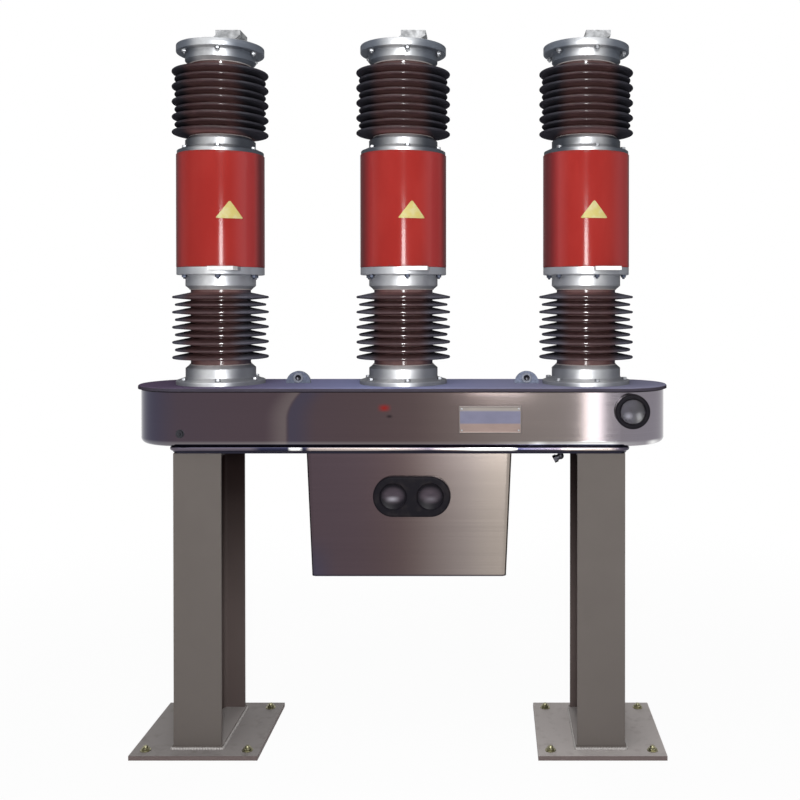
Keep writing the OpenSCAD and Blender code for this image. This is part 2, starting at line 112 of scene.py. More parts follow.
class BreakerSizes(PropertyGroup):
    """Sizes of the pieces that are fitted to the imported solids."""

    bolt_count: IntProperty(
        name="Flange bolts", description="Number of bolts round a flange", default=6, min=3
    )
    bolt_turn: angle("Bolt turn", "Angle of the first flange bolt from the front", 11)
    bolt_flat: length("Bolt width", "Width across the flats of a flange bolt's head", 0.0150)
    bolt_head: length("Bolt head", "Height of a flange bolt's head", 0.0085)
    bolt_inset: length("Bolt inset", "Distance from a flange's edge to the axes of its bolts", 0.0150)
    pocket_head: length("Pocket bolt head", "Height of a bolt's head in a pocket of a cap plate", 0.0068)
    pocket_inset: length("Pocket inset", "Distance from a top flange's edge to the axes of its bolts", 0.0160)
    pocket_floor: length(
        "Pocket floor", "Height of the pockets' floors above the bottom of a cap plate", 0.004
    )
    cap_plate: length("Cap plate", "Thickness of the plate on a pole's head", 0.011)
    stud: length("Stud", "Diameter of a flange stud that shows past its nut", 0.009)
    base_seat: length("Base seat", "Height of the bolt seats above the bottom of a base flange", 0.015)
    upper_seat: length("Upper seat", "Height of the bolt seats above the bottom of an upper flange", 0.014)
    lower_rim: length("Lower rim", "Thickness of a lower flange's rim", 0.024)
    top_rim: length("Top rim", "Thickness of a top flange's rim", 0.013)
    cement: length("Cement bead", "Height of the pale bead where a porcelain leaves its collar", 0.005)
    cement_radius: length("Cement radius", "Radius of the middle of the cement bead", 0.0972)
    gasket: length("Gasket", "Height of the dark strip between the beam's wall and its lid", 0.004)
    lug_eye: length("Lug eye", "Diameter of the eye of a lifting lug", 0.024)
    lug_level: length("Lug eye level", "Height of the eye above the foot of a lifting lug", 0.018)
    anchor_flat: length("Anchor nut", "Width across the flats of an anchor nut", 0.022)
    anchor_nut: length("Anchor nut height", "Height of an anchor nut", 0.0090)
    anchor_stud: length("Anchor stud", "Diameter of an anchor stud", 0.0156)
    anchor_inset: length("Anchor inset", "Distance from a base plate's edge to its anchor studs", 0.040)
    anchor_reach: length("Anchor reach", "Height of an anchor stud above the base plate", 0.0150)
    weld: length("Weld", "Radius of the weld bead round a leg's foot", 0.0058)
    triangle_base: length("Triangle base", "Width of the yellow triangular plate on a tank", 0.0845)
    triangle_height: length("Triangle height", "Height of the yellow triangular plate on a tank", 0.055)
    triangle_level: length("Triangle level", "Height of the triangular plate above the tank's bottom", 0.153)
    triangle_turn: angle("Triangle turn", "Angle of the triangular plate from the line to the camera", 10.9)
    nameplate_length: length("Nameplate length", "Length of the bare plate on the beam", 0.196)
    nameplate_height: length("Nameplate height", "Height of the bare plate on the beam", 0.0855)
    nameplate_across: length("Nameplate across", "Distance of the bare plate from the middle pole", 0.286)
    nameplate_level: length("Nameplate level", "Height of the bare plate above the wall's bottom", 0.0855)
    earth_across: length("Earth bolt across", "Distance of the earthing bolt from the beam's end", 0.1685)
    earth_level: length("Earth bolt level", "Height of the earthing bolt above the wall's bottom", 0.041)
    leg_bolt_across: length("Leg bolts across", "Distance of a leg's bolts from its web", 0.042)
    leg_bolt_along: length("Leg bolts along", "Distance of a leg's bolts from the beam's axis", 0.085)
    leg_cap: length("Leg cap", "Thickness of the plate on top of a leg", 0.010)
    lens_dish: length("Lens dish", "Depth of the hollow of a window lens", 0.0052)
    gauge_dish: length("Gauge dish", "Depth of the hollow of the gauge glass", 0.005)


class BreakerColours(PropertyGroup):
    """Linear colours of the finishes."""

    alloy_light: colour("Alloy light", "Light tone of the cast alloy", (0.640, 0.648, 0.660))
    alloy_dark: colour("Alloy dark", "Dark tone of the cast alloy", (0.470, 0.480, 0.495))
    # The two colours below are painted shade round the sides of the castings, low and high
    alloy_side_shade: colour("Alloy grime", "Grime on the sides of the low castings", (0.275, 0.285, 0.315))
    alloy_side_shade_high: colour(
        "High alloy grime", "Grime on the sides of the high castings", (0.125, 0.140, 0.168)
    )
    pad: colour("Pad", "White paint of the pads under the tanks", (0.80, 0.80, 0.79))
    glaze: colour("Glaze", "Brown glaze of the porcelain", (0.125, 0.064, 0.062))
    # painted shade of the glaze at the tips of the sheds
    glaze_tip_shade: colour("Glaze tip", "Glaze at the tips of the sheds", (0.052, 0.030, 0.032))
    # painted shade of the glaze round the sides of a pole
    glaze_side_shade: colour("Glaze edge", "Glaze round the sides of a pole", (0.040, 0.039, 0.049))
    dust: colour("Dust", "Dust on what faces up", (0.110, 0.090, 0.082))
    tank: colour("Tank", "Red paint of the tanks", (0.308, 0.0130, 0.0090))
    tank_faded: colour("Tank faded", "Weathered red paint of the tanks", (0.336, 0.0195, 0.0145))
    # painted sheen: greyer red beside the front of the tanks
    tank_painted_sheen: colour("Tank dull", "Dull red paint beside the front of the tanks", (0.340, 0.040, 0.040))
    # painted shade round the sides of the tanks
    tank_side_shade: colour("Tank side", "Dark red paint round the sides of the tanks", (0.128, 0.022, 0.025))
    tank_dirt: colour("Tank dirt", "Dirty red paint at the ends of the tanks", (0.130, 0.035, 0.030))
    # The sheet colours below are painted reflections in the polished sheets
    sheet_blue: colour("Sheet blue", "Bluish dark reflection in the polished sheet", (0.052, 0.052, 0.085))
    sheet_mauve: colour("Sheet mauve", "Dark reflection in the polished sheet", (0.076, 0.054, 0.064))
    sheet_brown: colour("Sheet brown", "Brown reflection in the polished sheet", (0.088, 0.060, 0.060))
    sheet_mid: colour("Sheet middle", "Middle tone of the polished sheet", (0.150, 0.118, 0.112))
    sheet_pale: colour("Sheet pale", "Light reflection in the polished sheet", (0.240, 0.205, 0.195))
    sheet_grey: colour("Sheet grey", "Light reflection in the right part of the beam", (0.205, 0.175, 0.166))
    sheet_beige: colour("Sheet beige", "Warm light reflection in the polished sheet", (0.335, 0.288, 0.254))
    sheet_end: colour(
        "Sheet end", "Bluish grey reflection at the right end of the beam", (0.210, 0.192, 0.222)
    )
    lid: colour("Lid", "Bluish lid of the beam", (0.262, 0.284, 0.480))
    lid_right: colour("Lid right", "Greyer right part of the beam's lid", (0.260, 0.258, 0.370))
    lid_left: colour("Lid left", "Mauve left part of the beam's lid", (0.113, 0.083, 0.136))
    # painted shade on the faces of the lid that do not face up
    lid_edge_shade: colour("Lid edge", "Edge of the beam's lid", (0.062, 0.054, 0.072))
    # painted shade on the pan's underside, also the dark line along the box's bottom; the pan colours after
    # it are painted reflections in the bead
    pan: colour("Pan", "Dark underside of the pan", (0.022, 0.021, 0.034))
    pan_bead: colour("Pan bead", "Light reflection in the pan's rolled bead", (0.40, 0.34, 0.32))
    pan_mauve: colour("Pan mauve", "Dull reflection in the pan's rolled bead", (0.115, 0.098, 0.125))
    pan_navy: colour("Pan navy", "Dark blue reflection in the pan's rolled bead", (0.026, 0.026, 0.052))
    leg: colour("Leg", "Grey paint of the legs", (0.132, 0.116, 0.107))
    # The next two colours are painted shade in the hollows of the legs, dark at the top and lighter low
    leg_hollow_shade: colour("Leg hollow", "Paint in the hollows of the legs", (0.011, 0.0045, 0.004))
    leg_low_shade: colour("Low leg hollow", "Paint low in the hollows of the legs", (0.106, 0.082, 0.077))
    plate: colour("Base plate", "Grey paint of the base plates", (0.300, 0.276, 0.268))
    # darker paint on the faces of the base plates that do not point up
    plate_edge: colour(
        "Plate edge", "Rust stained paint at the edges of the base plates", (0.140, 0.108, 0.104)
    )
    plate_scuff: colour("Plate scuff", "Scuffed paint of the base plates", (0.252, 0.228, 0.220))
    rubber: colour("Rubber", "Black rubber of bezel, window frame and gasket", (0.0075, 0.0065, 0.0095))
    lens: colour("Lens", "Dark glass of the window", (0.058, 0.046, 0.057))
    # painted highlight in the glass of the window and on the gauge dial
    lens_highlight: colour("Lens spot", "Soft bright spot in the glass of the window", (0.360, 0.350, 0.390))
    dial: colour("Dial", "Grey face of the gauge", (0.060, 0.054, 0.070))
    steel: colour("Plated steel", "Zinc plating of bolts", (0.34, 0.35, 0.37))
    lug_steel: colour("Lug steel", "Dull bluish steel of the lifting lugs", (0.105, 0.118, 0.160))
    bush_steel: colour("Bush steel", "Dull steel of the bushes in the lugs", (0.180, 0.190, 0.225))
    yellow_zinc: colour("Yellow zinc", "Yellow passivated zinc of the anchors", (0.270, 0.255, 0.160))
    brass: colour("Dark brass", "Tarnished brass of the gas valve", (0.050, 0.050, 0.058))
    yellow: colour("Yellow", "Yellow of the triangular plates", (0.550, 0.465, 0.146))
    yellow_faded: colour("Faded yellow", "Weathered yellow of the triangular plates", (0.570, 0.515, 0.255))
    cement: colour("Cement", "Pale bead between porcelain and collar", (0.48, 0.44, 0.43))
    nameplate: colour("Nameplate", "Bluish field of the bare plate", (0.112, 0.110, 0.162))
    nameplate_head: colour(
        "Nameplate head", "Dull strip along the top of the bare plate", (0.190, 0.170, 0.155)
    )
    nameplate_band: colour("Nameplate band", "Warm band along the bare plate", (0.188, 0.136, 0.121))
    nameplate_rim: colour("Nameplate rim", "Rim of the bare plate", (0.120, 0.105, 0.100))
    weld: colour("Weld", "Painted weld bead round a leg's foot", (0.37, 0.35, 0.34))


class BreakerStudio(PropertyGroup):
    """Camera and lamps."""

    lens: FloatProperty(
        name="Lens", description="Focal length in millimetres on a 36 mm sensor", default=43.974
    )
    eye: FloatVectorProperty(
        name="Eye", description="Place of the camera",
        default=(0.2947, -3.2150, 1.4347), subtype="TRANSLATION",
    )
    tilt: angle("Tilt", "Downward tilt of the camera", 0.4)
    shift: FloatVectorProperty(
        name="Shift", description="Shift of the picture in frame widths", default=(-0.1163, -0.12), size=2
    )
    key: power("Key lamp", "Power of the lamp beside the camera", 35.0)
    high: power("High lamp", "Power of the lamp above the camera", 30.0)
    low: power("Low lamp", "Power of the lamp below the camera", 15.0)
    top: power("Top lamp", "Power of the soft lamp overhead", 48.0)
    strip: power("Strip lamp", "Power of the upright strip", 2.9)
    back: power("Back lamp", "Power of the soft lamp behind, which adds no gloss", 45.0)
    high_glint: power("High glint", "Power of the high lamp that shows in gloss alone", 46.0)
    low_glint: power("Low glint", "Power of the low lamp that shows in gloss alone", 16.0)
    fill: FloatProperty(name="Fill", description="Strength of the surrounding light", default=0.27)
    floor_glow: FloatProperty(
        name="Floor glow", description="Share of the floor near the object that glows white", default=0.95
    )


class Value:
    """A socket of a node sheet; arithmetic on it adds Math nodes."""

    def __init__(self, sheet, socket):
        self.sheet = sheet
        self.socket = socket

    def _math(self, operation, first, second=0.0):
        return self.sheet.node("ShaderNodeMath", {"operation": operation}, {0: first, 1: second})

    def __add__(self, other):
        return self._math("ADD", self, other)

    def __radd__(self, other):
        return self._math("ADD", other, self)

    def __sub__(self, other):
        return self._math("SUBTRACT", self, other)

    def __rsub__(self, other):
        return self._math("SUBTRACT", other, self)

    def __mul__(self, other):
        return self._math("MULTIPLY", self, other)

    def __rmul__(self, other):
        return self._math("MULTIPLY", other, self)

    def __truediv__(self, other):
        return self._math("DIVIDE", self, other)

    def __rtruediv__(self, other):
        return self._math("DIVIDE", other, self)

    def __pow__(self, other):
        return self._math("POWER", self, other)

    def __abs__(self):
        return self._math("ABSOLUTE", self)

    def least(self, other):
        return self._math("MINIMUM", self, other)

    def most(self, other):
        return self._math("MAXIMUM", self, other)

    def rise(self, low, high):
        """Smooth step from 0 at low to 1 at high; low above high makes it fall."""
        if low > high:
            return 1 - self.rise(high, low)
        inputs = {"Value": self, "From Min": low, "From Max": high}
        return self.sheet.node("ShaderNodeMapRange", {"interpolation_type": "SMOOTHSTEP"}, inputs)

    def near(self, centre, reach):
        """1 at the centre, falling smoothly to 0 at the reach from it."""
        return abs(self - centre).rise(reach, 0.0)


class NodeSheet:
    """A node tree, cleared, and the one method that adds nodes to it."""

    def __init__(self, tree):
        self.tree = tree
        tree.nodes.clear()

    def node(self, kind, settings=None, inputs=None, out=0):
        """Adds a node: its settings first, a ramp's stops among them, then its sockets' values or links."""
        made = self.tree.nodes.new(kind)
        for key, value in (settings or {}).items():
            if key == "stops":
                self._stops(made.color_ramp.elements, value)
            elif key == "between":
                made.color_ramp.interpolation = value
            else:
                setattr(made, key, value)
        for key, value in (inputs or {}).items():
            if isinstance(value, Value):
                self.tree.links.new(value.socket, made.inputs[key])
            else:
                made.inputs[key].default_value = value
        if isinstance(out, tuple):
            return [Value(self, made.outputs[key]) for key in out]
        return Value(self, made.outputs[out]) if len(made.outputs) else None

    @staticmethod
    def _stops(elements, stops):
        while len(elements) > 1:
            elements.remove(elements[-1])
        for index, (position, tone) in enumerate(stops):
            element = elements[0] if index == 0 else elements.new(position)
            element.position = position
            element.color = (*tone, 1.0)


class Finish(NodeSheet):
    """One procedural material on Object coordinates, in metres."""

    def __init__(self, name):
        self.material = bpy.data.materials.new(name)
        self.material.use_nodes = True
        super().__init__(self.material.node_tree)
        self.place = self.node("ShaderNodeTexCoord", out="Object")
        axes = self.node("ShaderNodeSeparateXYZ", None, {0: self.place}, out=("X", "Y", "Z"))
        self.x, self.y, self.z = axes

    def noise(self, scale, detail=2.0, stretch=(1.0, 1.0, 1.0)):
        """Noise of about `scale` cells a metre, with the coordinates stretched first."""
        place = self.node("ShaderNodeVectorMath", {"operation": "MULTIPLY"}, {0: self.place, 1: stretch})
        return self.node("ShaderNodeTexNoise", None, {"Vector": place, "Scale": scale, "Detail": detail})

    def blend(self, mask, first, second):
        """Colour that goes from first to second with the mask."""
        tones = [tone if isinstance(tone, Value) else (*tone, 1.0) for tone in (first, second)]
        return self.node("ShaderNodeMix", {"data_type": "RGBA"}, {0: mask, 6: tones[0], 7: tones[1]}, out=2)

    def shade(self, tone, factor):
        """Colour scaled by a value."""
        scale = self.node("ShaderNodeCombineXYZ", None, {0: factor, 1: factor, 2: factor})
        tone = tone if isinstance(tone, Value) else tuple(tone)
        return self.node("ShaderNodeVectorMath", {"operation": "MULTIPLY"}, {0: tone, 1: scale})

    def ramp(self, value, stops, between="B_SPLINE"):
        """Colour that follows the stops, each a position and a tone, as the value goes from 0 to 1."""
        return self.node("ShaderNodeValToRGB", {"stops": stops, "between": between}, {0: value})

    def level(self, value, stops):
        """Number that follows the stops, each a position and a number, as the value goes from 0 to 1."""
        greys = [(position, (number,) * 3) for position, number in stops]
        return self.ramp(value, greys, "LINEAR") * 1.0  # the product makes the grey a number

    def bump(self, height, strength, distance):
        """Normal of a surface raised by the height, which runs from 0 to 1, times the distance in metres."""
        inputs = {"Height": height, "Strength": strength, "Distance": distance}
        return self.node("ShaderNodeBump", None, inputs, out="Normal")

    def upward(self):
        """How far the surface faces up, from -1 facing down to 1."""
        normal = self.node("ShaderNodeNewGeometry", out="Normal")
        return self.node("ShaderNodeSeparateXYZ", None, {0: normal}, out="Z")

    def beside_pole(self):
        """Distance across from the axis of the nearest pole, within half the spacing of the poles."""
        middle, right = [middle_of(flange(side, "base")).x for side in SIDES[1:]]
        half = (right - middle) / 2
        return self.node("ShaderNodeMath", {"operation": "WRAP"}, {0: self.x - middle, 1: half, 2: -half})

    def above_tanks(self):
        """0 from the tanks' bottoms down, rising to 1 at their tops."""
        low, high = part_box("middle_interrupter_tank")
        return self.z.rise(low.z, high.z)

    def surface(self, inputs, dull=None, turn=(0.3, 0.8)):
        """Ends the material in a Principled shader; where duller gloss is given, the same surface with that
        gloss takes over as it turns away, between two shares of the fall in the cosine."""
        shader = self.node("ShaderNodeBsdfPrincipled", None, inputs)
        if dull:
            away = self.node("ShaderNodeLayerWeight", None, {"Blend": 0.5}, out="Facing").rise(*turn)
            soft = self.node("ShaderNodeBsdfPrincipled", None, {**inputs, **dull})
            shader = self.node("ShaderNodeMixShader", None, {0: away, 1: shader, 2: soft})
        return self.ends(shader)

    def ends(self, shader):
        """Ends the material in the shader."""
        self.node("ShaderNodeOutputMaterial", None, {"Surface": shader})
        return self.material


def cast_alloy(tint):
    """Satin cast alloy: cloudy tone, fine sand grain, bluish painted shade round the sides of a pole."""
    return alloy("cast alloy", tint)


def terminal_alloy(tint):
    """Rougher, duller cast alloy of the line terminals, mottled on the blocks over the cap plates."""
    return alloy("terminal alloy", tint, 0.18, 0.52, mottled=0.4)


def lower_alloy(tint):
    """Cast alloy of a lower flange, with the white pad on its front."""
    return alloy("lower alloy", tint, pad_line=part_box("middle_base_flange")[0].y)


def alloy(name, tint, shine=0.74, rough=0.34, mottled=0.0, pad_line=None):
    """Cast alloy with painted shade round the sides of a pole, more painted shade at the upper flanges,
    mottled over the cap plates by the share given; what stands in front of the pad line is painted white."""
    base, lower, upper, top = [flange("middle", kind) for kind in FLANGES]
    crown = top[1].z + bpy.context.scene.breaker_sizes.cap_plate
    finish = Finish(name)
    cloud = finish.noise(16, 4).rise(0.36, 0.66)
    grain = finish.noise(520, 3)
    tone = finish.blend(cloud, tint.alloy_dark, tint.alloy_light)
    # painted shade round the sides of a pole, below the top of the cap plate, darker on the base flange
    side = abs(finish.beside_pole()).rise(0.012, 0.085) * finish.z.rise(crown - 0.0002, crown - 0.0015)
    side_shade = finish.blend(finish.above_tanks(), tint.alloy_side_shade, tint.alloy_side_shade_high)
    # painted shade at the upper flanges, on their sides and their middle
    upper_shade = finish.z.near(middle_of(upper).z, 0.09)
    foot = finish.z.rise(lower[0].z, base[1].z)
    side_shade = finish.shade(side_shade, 1.0 - 0.30 * foot - 0.35 * upper_shade)
    tone = finish.shade(finish.blend(side, tone, side_shade), 1.0 - 0.28 * upper_shade)
    if mottled:
        mottle = 0.5 + finish.noise(70, 3).rise(0.3, 0.7)
        tone = finish.shade(tone, 1.0 - mottled * mottle * finish.z.rise(crown + 0.0005, crown + 0.002))
    shine = shine + 0.06 * cloud
    if pad_line:
        pad = finish.y.rise(pad_line, pad_line - 0.002)
        tone = finish.blend(pad, tone, tint.pad)
        shine = shine * (1 - pad)
    bump = finish.bump(grain, 0.2, 0.0006)
    rough = rough + 0.10 * grain + 0.04 * cloud
    return finish.surface(
        {"Base Color": tone, "Metallic": shine, "Roughness": rough, "Normal": bump},
        {"Metallic": 0.0, "Roughness": 0.2 + rough, "Specular IOR Level": 0.05}, (0.04, 0.40),
    )


def porcelain(tint):
    """Glossy glaze, brown on the core, lighter on the lower insulators, with painted shade towards the shed
    tips and round the sides of a pole, painted light on faces that point down, and a little dust on what
    faces up."""
    core, tip = 0.105, 0.150
    finish = Finish("porcelain")
    thin = finish.noise(22, 3).rise(0.4, 0.75)
    upward = finish.upward()
    dust = upward.rise(0.5, 1.0) * finish.noise(60, 4).rise(0.3, 0.8)
    across = finish.beside_pole()
    radius = (across ** 2.0 + finish.y ** 2.0) ** 0.5
    # painted shade: darker towards the shed tips
    glaze = finish.blend(radius.rise(core, tip), tint.glaze, tint.glaze_tip_shade)
    below = 1 - finish.above_tanks()
    # lighter on the lower insulators; painted light on faces that point down
    glaze = finish.shade(glaze, 0.85 + 0.3 * thin + 0.35 * below + 1.1 * upward.rise(-0.2, -0.95))
    # painted shade round the sides of a pole, lighter on the lower insulators
    sides = abs(across).rise(0.058, 0.106)
    glaze = finish.blend(sides, glaze, finish.shade(tint.glaze_side_shade, 1.0 + 1.2 * below))
    rough = 0.11 + 0.12 * dust + 0.03 * thin
    return finish.surface(
        {
            "Base Color": finish.blend(0.10 * dust, glaze, tint.dust), "Roughness": rough,
            "Specular IOR Level": 0.30, "Normal": finish.bump(finish.noise(90, 2), 0.06, 0.001),
        },
        {"Roughness": 0.3 + rough, "Specular IOR Level": 0.0}, (0.10, 0.36),
    )


def red_paint(tint):
    """Satin enamel with a slight orange peel, faded in clouds, dirty at both ends, dull where it turns away,
    with a painted sheen beside the front and painted shade round the sides of a pole."""
    low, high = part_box("middle_interrupter_tank")
    dirty = 0.012
    finish = Finish("red paint")
    fade = finish.noise(9, 4, (1, 1, 0.35)).rise(0.38, 0.68)
    ends = (finish.z.rise(low.z + dirty, low.z) + finish.z.rise(high.z - dirty, high.z)).least(1.0)
    dirt = ends * finish.noise(70, 3).rise(0.3, 0.7)
    paint = finish.blend(0.5 * dirt, finish.blend(fade, tint.tank, tint.tank_faded), tint.tank_dirt)
    across = finish.beside_pole()
    sides = across.rise(-0.090, -0.130) + across.rise(0.124, 0.1385)
    # painted sheen beside the front, a greyer red
    paint = finish.blend(abs(across).rise(0.060, 0.110), paint, tint.tank_painted_sheen)
    # painted shade round the sides of a pole
    paint = finish.blend(sides, paint, tint.tank_side_shade)
    rough = 0.12 + 0.03 * fade + 0.2 * dirt
    return finish.surface(
        {
            "Base Color": paint, "Roughness": rough, "Specular IOR Level": 0.22,
            "Normal": finish.bump(finish.noise(260, 2), 0.05, 0.0006),
        },
        {"Roughness": 0.3 + rough, "Specular IOR Level": 0.02}, (0.10, 0.6),
    )


def polished_sheet(name, part, stops, brush, rough, touch=None, between="B_SPLINE"):
    """Polished sheet of one part: painted reflections as tones along its length, fine brush lines, and what
    `touch` lays over the tones."""
    finish = Finish(name)
    low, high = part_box(part)
    along = (finish.x - low.x) / (high.x - low.x)
    wander = finish.noise(3.2, 3, (1, 1, 0.4)) - 0.5
    line = finish.noise(1.0, 4, brush)
    tone = finish.shade(finish.ramp(along + 0.05 * wander, stops, between), 0.92 + 0.16 * line)
    if touch:
        tone = touch(finish, tone, low, high)
    return finish.surface({
        "Base Color": tone,
        "Metallic": 1.0,
        "Roughness": rough + 0.06 * line,
        "Normal": finish.bump(line, 0.015, 0.0004),
    })


def beam_sheet(tint):
    """Polished wall of the beam, all painted reflections: bluish left end, dark mauve and brown, then pale to
    the right, with the soft reflections of a post and a tank and a bright painted highlight in the lower
    bend."""
    # painted reflections along the wall
    stops = [
        (0.00, tint.sheet_blue), (0.04, tint.sheet_blue), (0.10, tint.sheet_mauve), (0.34, tint.sheet_mauve),
        (0.52, tint.sheet_brown), (0.62, tint.sheet_mid), (0.74, tint.sheet_grey), (0.84, tint.sheet_grey),
        (0.90, tint.sheet_end), (1.00, tint.sheet_end),
    ]

    def touch(finish, tone, low, high):
        """Lays painted reflections: a pale stripe and its painted shadow along a line that bows to the right
        above a level, a red spot over a dark one, and a white painted highlight in the lower bend, as bright
        along it as the stops say."""
        across, up = finish.x - low.x, finish.z - low.z
        front = finish.y.rise(0.05, -0.05)
        post_line, bow_level, bow = 0.5015, 0.084, 5.6
        # painted reflection of a post: a pale stripe, then its painted shadow
        post = across - post_line - bow * (up - bow_level).most(0.0) ** 2.0
        pale = front * post.rise(-0.075, -0.004) * post.rise(0.006, -0.006)
        tone = finish.blend(0.34 * pale, tone, tint.sheet_pale)
        shadow = front * post.rise(-0.004, 0.012) * post.rise(0.10, 0.018)
        tone = finish.blend(0.60 * shadow, tone, tint.sheet_blue)
        # painted reflection of a tank: a red spot over a dark one
        red = front * across.near(0.808, 0.026) * up.near(0.122, 0.016)
        tone = finish.blend(0.8 * red, tone, tint.tank)
        dark = front * across.near(0.824, 0.014) * up.near(0.0955, 0.008)
        tone = finish.blend(0.7 * dark, tone, tint.rubber)
        # painted highlight: a white line along the lower bend
        bend = finish.level(across / (high.x - low.x), [
            (0.00, 0.25), (0.02, 0.10), (0.30, 0.10), (0.66, 0.05), (0.735, 0.25),
            (0.755, 0.9), (0.775, 0.35), (0.81, 0.5), (0.84, 1.0), (0.89, 1.0),
            (0.905, 0.2), (0.955, 0.1), (0.970, 0.9), (0.985, 0.2), (1.0, 0.1),
        ])
        white = (0.95, 0.95, 0.94)
        return finish.blend(bend * up.rise(0.020, 0.010) * up.rise(0.001, 0.004), tone, white)

    return polished_sheet("beam sheet", "beam_housing", stops, (2.0, 2.0, 420.0), 0.05, touch)


def lid_sheet(tint):
    """Dull bluish lid, mauve at the left, with painted shade round its edge, brushed along its length."""
    finish = Finish("lid sheet")
    low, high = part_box("beam_lid")
    along = (finish.x - low.x) / (high.x - low.x)
    line = finish.noise(1.0, 4, (2.0, 380.0, 380.0))
    flat = finish.ramp(along, [
        (0.0, tint.lid_left), (0.16, tint.lid_left), (0.40, tint.lid), (0.52, tint.lid),
        (0.75, tint.lid_right),
    ])
    # painted shade on faces that do not face up
    tone = finish.blend(finish.upward().rise(0.3, 0.9), tint.lid_edge_shade, flat)
    return finish.surface({
        "Base Color": finish.shade(tone, 0.85 + 0.3 * line),
        "Roughness": 0.42 + 0.1 * line,
        "Specular IOR Level": 0.0,
    })


def pan_sheet(tint):
    """Rolled pan: painted reflections along the bead, a dark painted shade in the groove over it and on the
    underside.
    """
    white = (0.95, 0.94, 0.92)
    # painted reflections and white painted highlights along the bead
    stops = [
        (0.00, tint.pan_mauve), (0.18, tint.pan_mauve), (0.20, tint.pan_navy), (0.262, tint.pan_navy),
        (0.268, white), (0.288, white), (0.297, tint.pan_navy), (0.304, tint.pan_navy),
        (0.312, tint.pan_bead), (0.46, tint.pan_bead), (0.56, tint.pan_mauve), (0.62, tint.pan_bead),
        (0.66, white), (0.735, white), (0.75, tint.pan_navy), (0.845, tint.pan_mauve),
        (0.86, tint.pan_bead), (0.95, tint.pan_bead),
        (0.97, tint.pan_mauve), (1.0, tint.pan_navy),
    ]

    def touch(finish, tone, low, high):
        # painted shade: the underside and the groove over the bead
        under = finish.z.rise(high.z - 0.0115, high.z - 0.0135)
        groove = finish.z.rise(high.z - 0.0035, high.z - 0.0015)
        return finish.blend(under, finish.blend(groove, tone, tint.sheet_blue), tint.pan)

    return polished_sheet("pan sheet", "beam_bottom_pan", stops, (2.0, 300.0, 300.0), 0.22, touch, "LINEAR")


def box_sheet(tint):
    """Polished sheet of the box, painted reflections: dark mauve at the left, brown in the middle, beige at
    the right, a soft bluish painted reflection low at the left and a dark line along the bottom."""
    # painted reflections along the box
    stops = [
        (0.00, tint.sheet_mauve), (0.25, tint.sheet_mauve), (0.45, tint.sheet_brown), (0.60, tint.sheet_mid),
        (0.78, tint.sheet_pale), (0.92, tint.sheet_beige), (1.00, tint.sheet_beige),
    ]

    def touch(finish, tone, low, high):
        across, up = finish.x - low.x, finish.z - low.z
        # painted reflection low at the left
        tone = finish.blend(0.7 * across.rise(0.11, 0.01) * up.rise(0.15, 0.0), tone, tint.sheet_blue)
        return finish.blend(0.8 * up.rise(0.006, 0.003), tone, tint.pan)

    return polished_sheet("box sheet", "mechanism_box", stops, (2.0, 2.0, 300.0), 0.20, touch)


def grey_paint(tint):
    """Matt grey paint of the legs, with painted shade in the hollows that face each other, more so towards
    the top.
    """
    finish = Finish("grey paint")
    low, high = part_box("right_leg")
    middle = (low.x + high.x) / 2
    between = abs(finish.y).rise(high.y - 0.008, high.y - 0.012)
    inside = between * abs(finish.x).rise(middle + 0.004, middle - 0.004)
    # painted shade in the hollows, darker towards the top, left off faces that point up
    hollow = finish.blend(finish.z.rise(0.20, 0.92), tint.leg_low_shade, tint.leg_hollow_shade)
    hollow = finish.blend(finish.upward().rise(0.4, 0.8), hollow, tint.plate)
    speck = finish.noise(320, 2)
    paint = finish.shade(finish.blend(inside, tint.leg, hollow), 0.94 + 0.12 * finish.noise(11, 4))
    return finish.surface({
        "Base Color": paint,
        "Roughness": 0.58 + 0.15 * speck,
        "Specular IOR Level": 0.1,
        "Normal": finish.bump(speck, 0.12, 0.0006),
    })


def plate_paint(tint):
    """Matt grey paint of the base plates, lightly scuffed, paler on the right, darker on faces that do not
    point up.
    """
    finish = Finish("plate paint")
    scuff = finish.noise(30, 5).rise(0.5, 0.75)
    speck = finish.noise(260, 3)
    paler = 0.80 + 0.62 * finish.x.rise(-0.1, 0.1)
    paint = finish.shade(finish.blend(scuff, tint.plate, tint.plate_scuff), paler)
    # darker on faces that do not point up
    paint = finish.blend(finish.upward().rise(0.3, 0.8), tint.plate_edge, paint)
    return finish.surface({
        "Base Color": finish.shade(paint, 0.92 + 0.16 * speck),
        "Roughness": 0.55 + 0.2 * speck,
        "Specular IOR Level": 0.25,
        "Normal": finish.bump(speck, 0.15, 0.0006),
    })


def plated(name, tone, rough=0.28):
    """Plated metal with cloudy passivation."""
    finish = Finish(name)
    cloud = finish.noise(140, 4)
    dull = [0.7 * part for part in tone]
    return finish.surface({
        "Base Color": finish.shade(finish.blend(cloud.rise(0.3, 0.7), tone, dull), 0.9 + 0.2 * cloud),
        "Metallic": 1.0,
        "Roughness": rough + 0.14 * cloud,
        "Normal": finish.bump(cloud, 0.08, 0.0004),
    })


def plated_steel(tint):
    """Zinc plated steel."""
    return plated("plated steel", tint.steel, 0.40)


def lug_steel(tint):
    """Dull bluish steel."""
    return plated("lug steel", tint.lug_steel, 0.5)


def bush_steel(tint):
    """Dull steel of the bushes in the lifting lugs."""
    return plated("bush steel", tint.bush_steel, 0.55)


def yellow_zinc(tint):
    """Yellow passivated zinc."""
    return plated("yellow zinc", tint.yellow_zinc)


def dark_brass(tint):
    """Tarnished brass."""
    return plated("dark brass", tint.brass)


